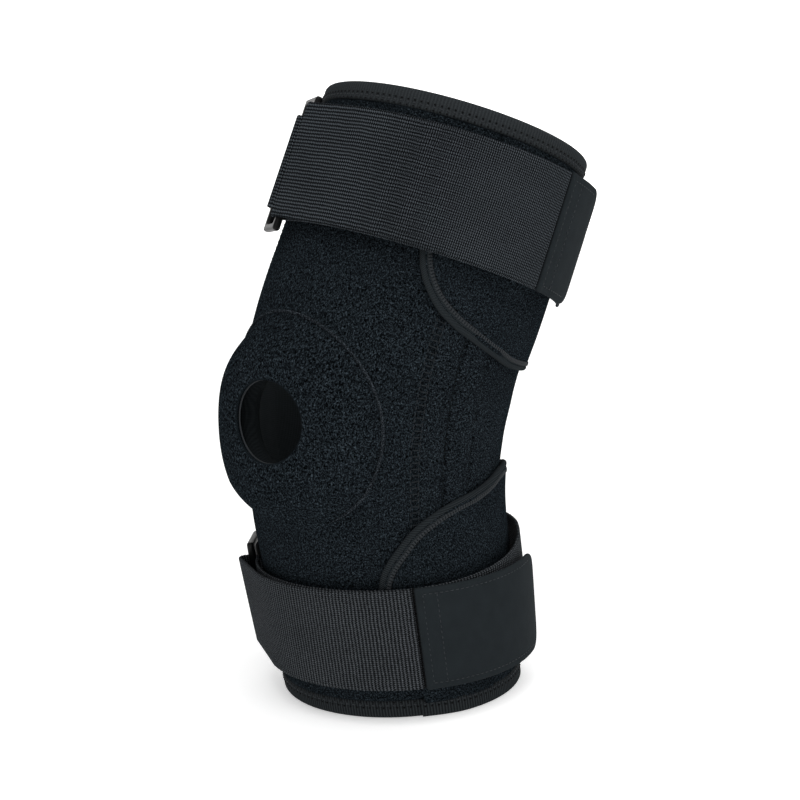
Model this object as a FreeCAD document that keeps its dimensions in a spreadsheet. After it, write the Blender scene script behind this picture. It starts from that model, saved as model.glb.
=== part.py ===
import FreeCAD, Part
import Sketcher
import math
import os

# Open-patella wrap knee brace with side stays and two cinch straps, stored as worn
# on a slightly bent knee.
# Frame: the lower rim rests on z = 0, the kneecap faces -Y, the outer side is +X.
# A point of the cloth is given by an angle (degrees from the front towards +X), an
# arc length up the leg line, and a lift outwards from the outer face of the sleeve.

VECTOR = FreeCAD.Vector
NODE_FOLDER = "parts"

# ---------------------------------------------------------------- driving dimensions
DIMENSIONS = [
    ("bend_start", 112.0), ("bend_length", 76.0), ("bend_degrees", 23.3),
    ("bend_heading", 18.7),
    ("knee_low", 88.0), ("knee_high", 180.0), ("top_rim", 276.0),
    ("rim_tape", 9.0), ("body_gap", 0.4),
    ("sleeve_thick", 3.5), ("side_thick", 2.2), ("front_edge", 55.8),
    ("side_edge", 56.2), ("sleeve_rear", 135.0),
    ("dome_angle", -6.0), ("dome_arc", 132.0), ("dome_half_angle", 48.0),
    ("dome_half_arc", 40.0), ("dome_height", 11.5), ("dome_foot", 1.08), ("dome_slope", 0.45),
    ("kneecap_arc", 135.6), ("kneecap_half_width", 21.5), ("kneecap_half_height", 19.3),
    ("kneecap_medial", 4.6),
    ("cutter_start", 40.0), ("cutter_length", 60.0),
    ("buttress_inner", 4.0), ("buttress_outer", 15.0), ("buttress_gap", 1.1),
    ("buttress_lining", 0.2), ("buttress_medial", -39.0), ("buttress_lateral", 27.0),
    ("buttress_low", 103.0), ("buttress_high", 161.0),
    ("wing_in", 0.55), ("wing_out", 2.75), ("wing_rear_sink", 2.6),
    ("wing_sink_start", 137.0), ("wing_sink_end", 162.0), ("wing_end", 224.6),
    ("edge_step", 7.0), ("edge_width", 5.0), ("edge_in", 0.5), ("edge_out", 3.2),
    ("stay_width", 8.0), ("stay_in", -3.7), ("stay_out", -2.5),
    ("stay_low", 40.0), ("stay_high", 240.0), ("stay_front", 62.8), ("stay_rear", 77.0),
    ("tape_in", -4.7), ("tape_out", -4.0), ("tape_rear", 85.0), ("tape_beyond", 4.0),
    ("tape_over_rim", 0.4), ("tape_proud", 0.6), ("tape_flush", 0.1),
    ("web_thick", 1.6), ("web_gap", 0.4), ("fold_radius", 2.7),
    ("anchor_thick", 1.3), ("anchor_lift", 0.5), ("anchor_gap", 0.3), ("anchor_start", -115.0),
    ("anchor_fold", 2.5), ("tab_corner", 8.0),
    ("bar_pitch", 14.0), ("bar_size", 3.6), ("bar_round", 1.4),
    ("thigh_low", 207.0), ("thigh_width", 55.0), ("thigh_seam", 87.0),
    ("thigh_fold", -28.0), ("thigh_lift", 4.6), ("thigh_shift", 2.0),
    ("thigh_tab_end", 115.0), ("thigh_sewn_end", 125.0), ("thigh_anchor_width", 45.0),
    ("thigh_slot", 59.2), ("thigh_ring_shift", -1.3), ("thigh_notch", 0.0),
    ("calf_low", 17.5), ("calf_width", 48.5), ("calf_seam", 47.6),
    ("calf_fold", -54.0), ("calf_lift", 3.9), ("calf_shift", 3.2),
    ("calf_tab_end", 122.0), ("calf_sewn_end", 156.0), ("calf_anchor_width", 40.0),
    ("calf_slot", 50.7), ("calf_ring_shift", 3.95), ("calf_notch", 4.3), ("notch_wide", 7.0),
    ("notch_deep", 10.0), ("notch_back", 2.0),
]

# Leg form: arc length, outer radius of the sleeve, set-back of its centre.
LEG_STATIONS = [
    ("rim", 0.0, 57.0, 0.0), ("shin", 30.0, 57.6, -4.0), ("calf", 60.0, 58.5, -7.5),
    ("under", 95.0, 59.5, -11.8), ("joint", 125.0, 62.5, -11.5), ("above", 150.0, 64.3, -10.2),
    ("lower", 187.0, 64.5, -6.3), ("middle", 235.0, 64.6, -2.6), ("upper", 276.0, 65.2, -1.2),
]

# Edges of the rear wings as (angle, arc length) from the sewn end, round the front end.
UPPER_WING_LOWER = [
    (224.6, 182.0), (190.0, 182.0), (160.0, 180.0), (130.0, 170.0), (100.0, 168.0),
    (84.6, 171.6), (70.1, 176.3), (60.5, 180.0), (50.8, 186.0), (43.0, 195.5),
    (38.5, 207.0),
]
UPPER_WING_FRONT = [(37.0, 220.0), (37.5, 238.0), (42.0, 250.0)]
UPPER_WING_UPPER = [(52.0, 257.0), (70.0, 258.5), (120.0, 258.5), (170.0, 258.5), (224.6, 258.5)]
LOWER_WING_UPPER = [
    (224.6, 99.0), (190.0, 99.0), (160.0, 101.0), (130.0, 109.0), (110.0, 111.0),
    (97.0, 108.0), (87.0, 105.6), (74.7, 103.3), (64.2, 99.3), (54.3, 93.0),
    (47.5, 85.6), (40.1, 75.9), (36.3, 66.2),
]
LOWER_WING_FRONT = [(35.0, 54.0), (37.5, 38.0), (43.5, 22.0), (48.4, 9.4)]


def make_sheet(document):
    """Write the driving dimensions into a spreadsheet, one aliased cell each."""
    sheet = document.addObject("Spreadsheet::Sheet", "Dimensions")
    rows = list(DIMENSIONS)
    for name, arc, radius, set_back in LEG_STATIONS:
        rows.append(("arc_" + name, arc))
        rows.append(("radius_" + name, radius))
        rows.append(("setback_" + name, set_back))
    for row, (alias, value) in enumerate(rows, start=1):
        sheet.set("A%d" % row, alias.replace("_", " "))
        sheet.set("B%d" % row, str(value))
        sheet.setAlias("B%d" % row, alias)
    document.recompute()
    return sheet


doc = FreeCAD.newDocument("KneeBrace")
sheet = make_sheet(doc)
nodes = []


def size(alias):
    """Read one driving dimension from the sheet."""
    return float(sheet.get(alias))


def smooth_curve(knots, values):
    """Cubic through the knots, with slopes that never overshoot a level stretch."""
    steps = [b - a for a, b in zip(knots, knots[1:])]
    rises = [(b - a) / step for a, b, step in zip(values, values[1:], steps)]
    slopes = [rises[0]]
    for before, after in zip(rises, rises[1:]):
        if before * after <= 0.0:
            slopes.append(0.0)
        else:
            slopes.append(2.0 * before * after / (before + after))
    slopes.append(rises[-1])

    def curve(at):
        index = 0
        while index < len(steps) - 1 and at > knots[index + 1]:
            index += 1
        step = steps[index]
        u = (at - knots[index]) / step
        low, high = values[index], values[index + 1]
        cubic = low * (1 + 2 * u) * (1 - u) ** 2 + high * u * u * (3 - 2 * u)
        return cubic + step * (slopes[index] * u * (1 - u) ** 2 - slopes[index + 1] * u * u * (1 - u))

    return curve


station_arcs = [size("arc_" + row[0]) for row in LEG_STATIONS]
leg_radius = smooth_curve(station_arcs, [size("radius_" + row[0]) for row in LEG_STATIONS])
leg_set_back = smooth_curve(station_arcs, [size("setback_" + row[0]) for row in LEG_STATIONS])

BEND = math.radians(size("bend_degrees"))
HEADING = math.radians(size("bend_heading"))
BEND_RADIUS = size("bend_length") / BEND
LEAN = VECTOR(math.sin(HEADING), math.cos(HEADING), 0.0)
BEND_AXIS = VECTOR(-math.cos(HEADING), math.sin(HEADING), 0.0)


def leg_line(arc):
    """Centre of the leg and its rotation at an arc length."""
    past = min(max(arc - size("bend_start"), 0.0), size("bend_length"))
    tilt = past / BEND_RADIUS
    straight = max(arc - size("bend_start") - size("bend_length"), 0.0)
    sideways = BEND_RADIUS * (1.0 - math.cos(tilt)) + straight * math.sin(BEND)
    height = min(arc, size("bend_start")) + BEND_RADIUS * math.sin(tilt)
    height += straight * math.cos(BEND)
    turn = FreeCAD.Rotation(BEND_AXIS, math.degrees(tilt))
    return LEAN * sideways + VECTOR(0.0, leg_set_back(arc), height), turn


def outward(degrees):
    """Unit direction in a leg section, from the front towards the outer side."""
    angle = math.radians(degrees)
    return VECTOR(math.sin(angle), -math.cos(angle), 0.0)


def skin(degrees, arc, lift):
    """Point at an angle, an arc length and a lift from the sleeve's outer face."""
    centre, turn = leg_line(arc)
    return centre + turn.multVec(outward(degrees) * (leg_radius(arc) + lift))


def spread(first, last, count):
    """Evenly spaced values, both ends included."""
    return [first + (last - first) * k / (count - 1.0) for k in range(count)]


def add_node(label, shape):
    """Keep a free-form soft piece as a document object."""
    piece = doc.addObject("Part::Feature", label)
    piece.Label = label
    piece.Shape = shape
    nodes.append(piece)
    return piece


def grid_surface(grid):
    """Smooth surface through a grid of points."""
    surface = Part.BSplineSurface()
    surface.interpolate(grid)
    return surface


def border_edges(surface):
    """The four border curves of a surface, as edges."""
    u_low, u_high, v_low, v_high = surface.bounds()
    curves = [surface.uIso(u_low), surface.uIso(u_high), surface.vIso(v_low), surface.vIso(v_high)]
    return [curve.toShape() for curve in curves]


def ruled_face(near, far):
    """Ruled face between two edges, the way round that isn't twisted."""
    choices = [Part.makeRuledSurface(near, edge) for edge in (far, far.reversed())]
    return min(choices, key=lambda face: face.Area)


def closed_solid(outside, inside):
    """Solid between two grids of points, closed by ruled faces along their borders."""
    surfaces = [grid_surface(outside), grid_surface(inside)]
    faces = [surface.toShape() for surface in surfaces]
    for near, far in zip(border_edges(surfaces[0]), border_edges(surfaces[1])):
        faces.append(ruled_face(near, far))
    shell = Part.makeShell(faces)
    shell.sewShape()
    solid = Part.makeSolid(shell)
    if solid.Volume < 0.0:
        solid.reverse()
    return solid


def panel(angles, low, high, inner, outer, rows):
    """Solid cloth panel between two edges, each a function of the angle."""
    outside, inside = [], []
    for degrees in angles:
        arcs = spread(low(degrees), high(degrees), rows)
        outside.append([skin(degrees, arc, outer(degrees, arc)) for arc in arcs])
        inside.append([skin(degrees, arc, inner(degrees, arc)) for arc in arcs])
    return closed_solid(outside, inside)


def level(value):
    """A lift or an edge that is the same everywhere."""
    return lambda *place: value


# ---------------------------------------------------------------- sleeve panels
def dome(degrees, arc):
    """Height of the moulded kneecap bump over the sleeve."""
    across = (degrees - size("dome_angle")) / size("dome_half_angle")
    along = (arc - size("dome_arc")) / size("dome_half_arc")
    inside = (size("dome_foot") - math.hypot(across, along)) / size("dome_slope")
    inside = min(max(inside, 0.0), 1.0)
    return size("dome_height") * inside * inside * (3.0 - 2.0 * inside)


def kneecap_cutter(grow):
    """Elliptic cylinder through the kneecap opening."""
    centre, turn = leg_line(size("kneecap_arc"))
    front = turn.multVec(outward(0.0))
    ellipse = Part.Ellipse(
        VECTOR(0, 0, 0), size("kneecap_half_width") + grow, size("kneecap_half_height") + grow
    )
    face = Part.Face(Part.Wire([ellipse.toShape()]))
    upright = FreeCAD.Rotation(VECTOR(1, 0, 0), VECTOR(0, 0, 1), VECTOR(0, -1, 0), "XYZ")
    medial = turn.multVec(outward(-90.0))
    start = centre + front * size("cutter_start") + medial * size("kneecap_medial")
    face.Placement = FreeCAD.Placement(start, turn.multiply(upright))
    return face.extrude(front * size("cutter_length"))


def sleeve_levels():
    """Arc ranges of the calf, knee and thigh lengths of the sleeve."""
    half = size("body_gap") / 2.0
    tape = size("rim_tape") + size("body_gap")
    return {
        "calf": (tape, size("knee_low") - half, 9),
        "knee": (size("knee_low") + half, size("knee_high") - half, 25),
        "thigh": (size("knee_high") + half, size("top_rim") - tape, 9),
    }


def make_front_panels():
    """Neoprene front of the sleeve, with the kneecap opening in its knee length."""
    edge = size("front_edge")
    for part_name, (low, high, rows) in sleeve_levels().items():
        if part_name == "knee":
            def outer(degrees, arc):
                return dome(degrees, arc)

            def inner(degrees, arc):
                return dome(degrees, arc) - size("sleeve_thick")

            shape = panel(spread(-edge, edge, 33), level(low), level(high), inner, outer, rows)
            shape = shape.cut(kneecap_cutter(0.0))
        else:
            shape = panel(
                spread(-edge, edge, 9), level(low), level(high),
                level(-size("sleeve_thick")), level(0.0), rows,
            )
        add_node(part_name + "_front_panel", shape)


def make_side_panels():
    """Thinner side panels that cover the stays."""
    near, rear = size("side_edge"), size("sleeve_rear")
    for side_name, sign in (("lateral", 1.0), ("medial", -1.0)):
        for part_name, (low, high, rows) in sleeve_levels().items():
            shape = panel(
                spread(sign * near, sign * rear, 7), level(low), level(high),
                level(-size("side_thick")), level(0.0), rows,
            )
            add_node("%s_%s_panel" % (part_name, side_name), shape)


def make_buttress():
    """Soft ring round the kneecap, under the moulded front."""
    def inner(degrees, arc):
        return -size("sleeve_thick") + size("buttress_lining")

    def outer(degrees, arc):
        return dome(degrees, arc) - size("sleeve_thick") - size("buttress_gap")

    angles = spread(size("buttress_medial"), size("buttress_lateral"), 15)
    low, high = level(size("buttress_low")), level(size("buttress_high"))
    shape = panel(angles, low, high, inner, outer, 11)
    shape = shape.common(kneecap_cutter(size("buttress_outer")))
    add_node("patella_buttress", shape.cut(kneecap_cutter(size("buttress_inner"))))


def make_stays():
    """Two flat spiral stays on each side and the inner tape that holds them."""
    for side_name, sign in (("lateral", 1.0), ("medial", -1.0)):
        for place in ("front", "rear"):
            centre = size("stay_" + place)
            half = math.degrees(size("stay_width") / 2.0 / size("radius_joint"))
            shape = panel(
                spread(sign * (centre - half), sign * (centre + half), 4),
                level(size("stay_low")), level(size("stay_high")),
                level(size("stay_in")), level(size("stay_out")), 25,
            )
            add_node("stay_%s_%s" % (side_name, place), shape)
        shape = panel(
            spread(sign * size("side_edge"), sign * size("tape_rear"), 4),
            level(size("stay_low") - size("tape_beyond")),
            level(size("stay_high") + size("tape_beyond")),
            level(size("tape_in")), level(size("tape_out")), 25,
        )
        add_node("stay_pocket_" + side_name, shape)


def flat_bottom(shape):
    """Cut a rim level at the height that the brace stands on."""
    below = Part.makeBox(400.0, 400.0, 40.0, VECTOR(-200.0, -200.0, -40.0))
    return shape.cut(below)


def make_rim_tapes():
    """Folded tapes round the lower and the upper rim of the sleeve."""
    rear = size("sleeve_rear")
    angles = spread(-rear, rear, 19)
    inner, height = level(-size("sleeve_thick") - size("tape_over_rim")), size("rim_tape")
    shape = panel(angles, level(-1.0), level(height), inner, level(size("tape_flush")), 4)
    add_node("bottom_rim_tape", flat_bottom(shape))
    top = size("top_rim")
    shape = panel(angles, level(top - height), level(top), inner, level(size("tape_proud")), 4)
    add_node("top_rim_tape", shape)


# ---------------------------------------------------------------- rear wings
def wing_drop(degrees):
    """The wing lies on the sleeve at the side and on the leg itself at the back."""
    start, end = size("wing_sink_start"), size("wing_sink_end")
    u = min(max((degrees - start) / (end - start), 0.0), 1.0)
    return size("wing_rear_sink") * u * u * (3.0 - 2.0 * u)


def wing_lift(degrees, arc):
    """Lift of the surface that the wing lies on."""
    return dome(degrees, arc) - wing_drop(degrees)


def edge_curve(points):
    """Arc length of an edge as a function of the angle."""
    ordered = sorted(points)
    return smooth_curve([p[0] for p in ordered], [p[1] for p in ordered])


def outline(points, step):
    """Evenly spaced (angle, arc) points along a smooth path through the given ones."""
    path = Part.BSplineCurve()
    path.interpolate([VECTOR(degrees, arc, 0.0) for degrees, arc in points])
    count = max(int(path.length() / step), 8)
    return [(p.x, p.y) for p in path.discretize(count)]


def edge_tape(points, side, extra=0.0):
    """Folded tape along an outline, on the given side of the path."""
    path = outline(points, size("edge_step"))
    outside, inside = [], []
    for index, (degrees, arc) in enumerate(path):
        before = path[max(index - 1, 0)]
        after = path[min(index + 1, len(path) - 1)]
        scale = math.radians(1.0) * leg_radius(arc)
        run = (after[0] - before[0]) * scale
        rise = after[1] - before[1]
        length = math.hypot(run, rise)
        high_row, low_row = [], []
        for width in spread(-extra, size("edge_width") + extra, 4):
            at_degrees = degrees - side * rise / length * width / scale
            at_arc = arc + side * run / length * width
            lift = wing_lift(at_degrees, at_arc)
            high_row.append(skin(at_degrees, at_arc, lift + size("edge_out") + 2.0 * extra))
            low_row.append(skin(at_degrees, at_arc, lift + size("edge_in") - 2.0 * extra))
        outside.append(high_row)
        inside.append(low_row)
    return closed_solid(outside, inside)


def wing_panel(front, lower, upper):
    """Cloth of a wing from its front end round the back to the sewn end."""
    angles = spread(front, size("wing_end"), 27)

    def inner(degrees, arc):
        return size("wing_in") + wing_lift(degrees, arc)

    def outer(degrees, arc):
        return size("wing_out") + wing_lift(degrees, arc)

    return panel(angles, lower, upper, inner, outer, 9)


def inset(curve, amount):
    """The same edge moved up the leg by an amount."""
    return lambda degrees: curve(degrees) + amount


def largest_solid(shape):
    """The cloth that stays after its taped edge is cut away."""
    return max(shape.Solids, key=lambda solid: solid.Volume)


def make_upper_wing():
    """Thigh closure wing and the tape round its edge."""
    tape_path = UPPER_WING_LOWER + UPPER_WING_FRONT + UPPER_WING_UPPER
    add_node("upper_wing_edge_tape", edge_tape(tape_path, -1.0))
    lower = edge_curve(UPPER_WING_LOWER + [(36.0, 216.0)])
    upper = edge_curve([(36.0, 238.0)] + UPPER_WING_UPPER)
    cloth = wing_panel(40.5, inset(lower, 1.0), inset(upper, -1.0))
    cloth = cloth.cut(edge_tape(tape_path, -1.0, 0.4))
    add_node("upper_wing", largest_solid(cloth))


def make_lower_wing():
    """Calf closure wing, the tape round its edge and the tape on its lower rim."""
    tape_path = LOWER_WING_UPPER + LOWER_WING_FRONT
    add_node("lower_wing_edge_tape", edge_tape(tape_path, 1.0))
    upper = edge_curve(LOWER_WING_UPPER + [(34.0, 58.0)])
    foot, foot_arc = LOWER_WING_FRONT[-1]
    front = edge_curve(LOWER_WING_FRONT + [(size("wing_end") + 1.0, foot_arc)])

    def lower(degrees):
        return max(front(degrees), size("rim_tape") + size("body_gap"))

    cloth = wing_panel(37.5, lower, inset(upper, -1.0))
    cloth = cloth.cut(edge_tape(tape_path, 1.0, 0.4))
    add_node("lower_wing", largest_solid(cloth))

    def inner(degrees, arc):
        return size("wing_in") + wing_lift(degrees, arc)

    def outer(degrees, arc):
        return size("edge_out") + wing_lift(degrees, arc)

    angles = spread(foot, size("wing_end"), 19)
    shape = panel(angles, level(-1.0), level(size("rim_tape")), inner, outer, 4)
    add_node("lower_wing_rim_tape", flat_bottom(shape))


# ---------------------------------------------------------------- cinch straps
class StrapFrame:
    """Section plane of a strap and the sizes that its profiles share.

    The strap runs round a centre that is shifted away from its fold, so that it lies
    on the sleeve at the ring and clears the wing at the outer side.
    """

    def __init__(self, name):
        self.name = name
        self.low = size(name + "_low")
        self.width = size(name + "_width")
        top = self.low + self.width
        self.origin, self.turn = leg_line(self.low)
        self.sweep = leg_line(top)[0] - self.origin
        self.sleeve = max(leg_radius(self.low), leg_radius(top))
        self.under_low = self.sleeve + size(name + "_lift")
        self.over_low = self.under_low + size("web_thick") + size("web_gap")
        self.fold = size(name + "_fold")
        self.centre = outward(self.fold + 180.0) * size(name + "_shift")
        reach = self.under_low + size("web_thick") + size("fold_radius")
        self.reach = reach
        pitch_angle = 2.0 * math.degrees(math.asin(size("bar_pitch") / 2.0 / reach))
        self.fold_bar = self.centre + outward(self.fold) * reach
        self.anchor_bar = self.centre + outward(self.fold - pitch_angle) * reach

    def at(self, flat):
        """Point of the lower section plane."""
        return self.origin + self.turn.multVec(flat)

    def arc(self, centre, radius, first, last):
        """Arc about a centre in the section plane between two outward angles."""
        ends = [centre + outward(a) * radius for a in (first, (first + last) / 2.0, last)]
        return Part.Arc(*[self.at(p) for p in ends]).toShape()


def closed_face(one_side, other_side):
    """Face between the two faces of a strip, each a list of edges in order."""
    edges = join_edges(one_side) + join_edges(other_side)
    first, last = end_points(one_side)
    other_first, other_last = end_points(other_side)
    edges += [Part.makeLine(first, other_first), Part.makeLine(last, other_last)]
    return Part.Face(Part.Wire(Part.__sortEdges__(edges)))


def end_points(edges):
    """Start of the first edge and end of the last."""
    return edges[0].valueAt(edges[0].FirstParameter), edges[-1].valueAt(edges[-1].LastParameter)


def join_edges(edges):
    """Put straight runs between edges that don't meet."""
    joined = [edges[0]]
    for before, after in zip(edges, edges[1:]):
        start = before.valueAt(before.LastParameter)
        end = after.valueAt(after.FirstParameter)
        if start.distanceToPoint(end) > 1e-4:
            joined.append(Part.makeLine(start, end))
        joined.append(after)
    return joined


def extruded_node(label, strap, face, width_alias, from_low):
    """Extrude a profile across the webbing's width, from a height above its lower edge."""
    profile = doc.addObject("Part::Feature", label + "_profile")
    profile.Shape = face
    start = strap.sweep * (from_low / strap.width)
    profile.Placement = FreeCAD.Placement(start, FreeCAD.Rotation())
    solid = doc.addObject("Part::Extrusion", label)
    solid.Label = label
    solid.Base = profile
    solid.DirMode = "Custom"
    solid.Dir = strap.sweep
    solid.Solid = True
    stretch = strap.sweep.Length / strap.width
    solid.setExpression("LengthFwd", "Dimensions.%s * %.6f" % (width_alias, stretch))
    nodes.append(solid)
    return solid


def make_strap(name):
    """Elastic webbing: sewn at the outer back, folded round the ring, back to the seam.

    A notch gathers the lower edge where the webbing is wider than the ring's slot.
    """
    strap = StrapFrame(name)
    leave = math.degrees(math.acos((strap.over_low - size("fold_radius")) / strap.reach))
    sides = []
    for offset in (0.0, size("web_thick")):
        under = strap.under_low + size("web_thick") - offset
        over = strap.over_low + offset
        bend = size("fold_radius") + offset
        sides.append([
            strap.arc(strap.centre, under, size(name + "_sewn_end"), strap.fold),
            strap.arc(strap.fold_bar, bend, strap.fold - 180.0, strap.fold + leave),
            strap.arc(strap.centre, over, strap.fold + leave, size(name + "_seam")),
        ])
    label, notch = name + "_strap", size(name + "_notch")
    if notch == 0.0:
        extruded_node(label, strap, closed_face(*sides), name + "_width", 0.0)
        return
    plain = extruded_node(label + "_plain", strap, closed_face(*sides), name + "_width", 0.0)
    nodes.remove(plain)
    cutter = doc.addObject("Part::Box", label + "_notch")
    cutter.setExpression("Length", "Dimensions.notch_deep")
    cutter.setExpression("Width", "Dimensions.notch_wide")
    cutter.setExpression("Height", "2 * Dimensions.%s_notch" % name)
    outside = strap.fold_bar - strap.centre
    along = outward(strap.fold - 90.0)
    corner = strap.fold_bar + along * (size("notch_wide") - size("notch_back"))
    corner -= outside.normalize() * (size("notch_deep") / 2.0)
    turn = FreeCAD.Rotation(strap.turn.multVec(outside), strap.turn.multVec(-along), strap.sweep, "ZXY")
    corner = strap.at(corner) - VECTOR(strap.sweep).normalize() * notch
    cutter.Placement = FreeCAD.Placement(corner, turn)
    cut = doc.addObject("Part::Cut", label)
    cut.Label = label
    cut.Base, cut.Tool = plain, cutter
    nodes.append(cut)


def make_tab(name):
    """Hook tab sewn to the end of the strap, with rounded far corners."""
    strap = StrapFrame(name)
    low = strap.over_low
    start = size(name + "_seam") + 0.5
    end = size(name + "_tab_end")
    sides = []
    for lift in (0.0, size("web_thick")):
        sides.append([strap.arc(strap.centre, low + lift, start, end)])
    label = name + "_hook_tab"
    plain = extruded_node(label + "_plain", strap, closed_face(*sides), name + "_width", 0.0)
    nodes.remove(plain)
    doc.recompute()
    far = strap.at(strap.centre + outward(end) * low)
    corners = []
    for index, edge in enumerate(plain.Shape.Edges, start=1):
        beside = edge.CenterOfMass - far
        along = beside.dot(strap.sweep) / strap.sweep.Length
        across = (beside - strap.sweep * (along / strap.sweep.Length)).Length
        if edge.Length < size("web_thick") + 0.5 and across < 3.0:
            corners.append((index, size("tab_corner"), size("tab_corner")))
    rounded = doc.addObject("Part::Fillet", label)
    rounded.Label = label
    rounded.Base = plain
    rounded.Edges = corners
    nodes.append(rounded)


def make_anchor(name):
    """Short webbing loop that holds the ring, both layers sewn to the inner side."""
    strap = StrapFrame(name)
    middle = VECTOR(0, 0, 0)
    bar = strap.anchor_bar
    angle = math.degrees(math.atan2(bar.x, -bar.y))
    low = strap.sleeve + size("anchor_lift")
    thick = size("anchor_thick")
    high = low + thick + size("anchor_gap")
    under = math.degrees(math.acos((low + thick + size("anchor_fold")) / bar.Length))
    over = math.degrees(math.acos((high - size("anchor_fold")) / bar.Length))
    sides = []
    for offset in (0.0, thick):
        bend = size("anchor_fold") + offset
        sides.append([
            strap.arc(middle, low + thick - offset, size("anchor_start"), angle - under),
            strap.arc(bar, bend, angle - under + 180.0, angle - over),
            strap.arc(middle, high + offset, angle - over, size("anchor_start")),
        ])
    width = size(name + "_anchor_width")
    extruded_node(
        name + "_ring_anchor", strap, closed_face(*sides), name + "_anchor_width",
        (strap.width - width) / 2.0,
    )


def make_ring(name):
    """Moulded slide ring: a rounded rectangular loop of square bars with soft edges."""
    strap = StrapFrame(name)
    label = name + "_slide_ring"
    body = doc.addObject("PartDesign::Body", label)
    body.Label = label
    plane = [f for f in body.Origin.OriginFeatures if f.Role == "XY_Plane"][0]
    sketch = body.newObject("Sketcher::SketchObject", label + "_sketch")
    sketch.AttachmentSupport = [(plane, "")]
    sketch.MapMode = "FlatFace"
    pitch = "Dimensions.bar_pitch"
    bar_size = "Dimensions.bar_size"
    slot = "Dimensions.%s_slot" % name
    rectangle(sketch, 0, "(%s + %s)" % (pitch, bar_size), "(%s + 2 * %s)" % (slot, bar_size))
    rectangle(sketch, 4, "(%s - %s)" % (pitch, bar_size), slot)
    pad = body.newObject("PartDesign::Pad", label + "_pad")
    pad.Profile = sketch
    pad.Midplane = True
    pad.setExpression("Length", bar_size)
    doc.recompute()
    fillet = body.newObject("PartDesign::Fillet", label + "_fillet")
    fillet.Base = (pad, ["Edge%d" % (k + 1) for k in range(len(pad.Shape.Edges))])
    fillet.setExpression("Radius", "Dimensions.bar_round")
    body.Tip = fillet
    fold_bar, anchor_bar = strap.at(strap.fold_bar), strap.at(strap.anchor_bar)
    middle = (fold_bar + anchor_bar) * 0.5 + strap.sweep * 0.5
    middle += VECTOR(strap.sweep).normalize() * size(name + "_ring_shift")
    turn = FreeCAD.Rotation(fold_bar - anchor_bar, strap.sweep, VECTOR(0, 0, 0), "YXZ")
    body.Placement = FreeCAD.Placement(middle, turn)
    nodes.append(body)
    swivel = anchor_bar + strap.sweep * 0.5
    print(label, "swivel at", swivel, "axis", VECTOR(strap.sweep).normalize())


def rectangle(sketch, first, width, height):
    """Centred rectangle in a sketch, its width and height bound to the sheet."""
    half = 10.0 + first
    corners = [
        VECTOR(-half, -half, 0), VECTOR(half, -half, 0), VECTOR(half, half, 0), VECTOR(-half, half, 0)
    ]
    for k in range(4):
        sketch.addGeometry(Part.LineSegment(corners[k], corners[(k + 1) % 4]), False)
    for k in range(4):
        sketch.addConstraint(Sketcher.Constraint("Coincident", first + k, 2, first + (k + 1) % 4, 1))
    for k, kind in enumerate(("Horizontal", "Vertical", "Horizontal", "Vertical")):
        sketch.addConstraint(Sketcher.Constraint(kind, first + k))
    sketch.addConstraint(Sketcher.Constraint("Symmetric", first, 1, first + 1, 2, -1, 1))
    wide = sketch.addConstraint(Sketcher.Constraint("DistanceX", first, 1, first, 2, 2 * half))
    tall = sketch.addConstraint(Sketcher.Constraint("DistanceY", first + 1, 1, first + 1, 2, 2 * half))
    sketch.setExpression("Constraints[%d]" % wide, width)
    sketch.setExpression("Constraints[%d]" % tall, height)


def print_hinge(name):
    """Print the seam line that a hook tab peels about."""
    strap = StrapFrame(name)
    outside = strap.over_low + size("web_thick")
    seam = strap.centre + outward(size(name + "_seam") + 0.25) * outside
    seam = strap.at(seam) + strap.sweep * 0.5
    print(name, "tab seam at", seam, "axis", VECTOR(strap.sweep).normalize())


def check_and_write():
    """Stop on any failed object, then write one STEP file for each node."""
    doc.recompute()
    for item in doc.Objects:
        if "Invalid" in item.State or "Error" in item.State:
            raise RuntimeError("failed: " + item.Name)
    os.makedirs(NODE_FOLDER, exist_ok=True)
    for node in nodes:
        shape = node.Shape
        if shape.isNull() or not shape.isValid() or shape.Volume <= 0.0:
            raise RuntimeError("bad shape: " + node.Label)
        print("%-24s %10.1f mm3  %d solid" % (node.Label, shape.Volume, len(shape.Solids)))
        shape.exportStep(os.path.join(NODE_FOLDER, node.Label + ".step"))


make_front_panels()
make_side_panels()
make_buttress()
make_stays()
make_rim_tapes()
make_upper_wing()
make_lower_wing()
for strap_name in ("thigh", "calf"):
    make_strap(strap_name)
    make_tab(strap_name)
    make_anchor(strap_name)
    make_ring(strap_name)
    print_hinge(strap_name)
check_and_write()
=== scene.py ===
import math

import bmesh
import bpy
import numpy as np
from mathutils import Matrix, Vector


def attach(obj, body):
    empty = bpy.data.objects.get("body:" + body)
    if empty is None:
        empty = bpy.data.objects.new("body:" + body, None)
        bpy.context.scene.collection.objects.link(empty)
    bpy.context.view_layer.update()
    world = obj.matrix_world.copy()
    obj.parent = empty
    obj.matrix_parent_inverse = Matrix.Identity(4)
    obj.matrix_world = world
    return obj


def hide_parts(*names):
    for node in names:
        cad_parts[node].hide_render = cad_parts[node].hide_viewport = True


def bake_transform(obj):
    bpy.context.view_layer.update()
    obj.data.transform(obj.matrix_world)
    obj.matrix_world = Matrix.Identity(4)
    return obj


# Looks of an open-patella wrap knee brace: neoprene sleeve with a moulded kneecap,
# side stays, two rear wings with taped edges and two elastic cinch straps.
# Lengths in this script are millimetres until a mesh is made, which is in metres.
# A point of the cloth is (angle from the front towards +X, arc length up the leg
# line, lift from the outer face of the sleeve), as in the part.

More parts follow.
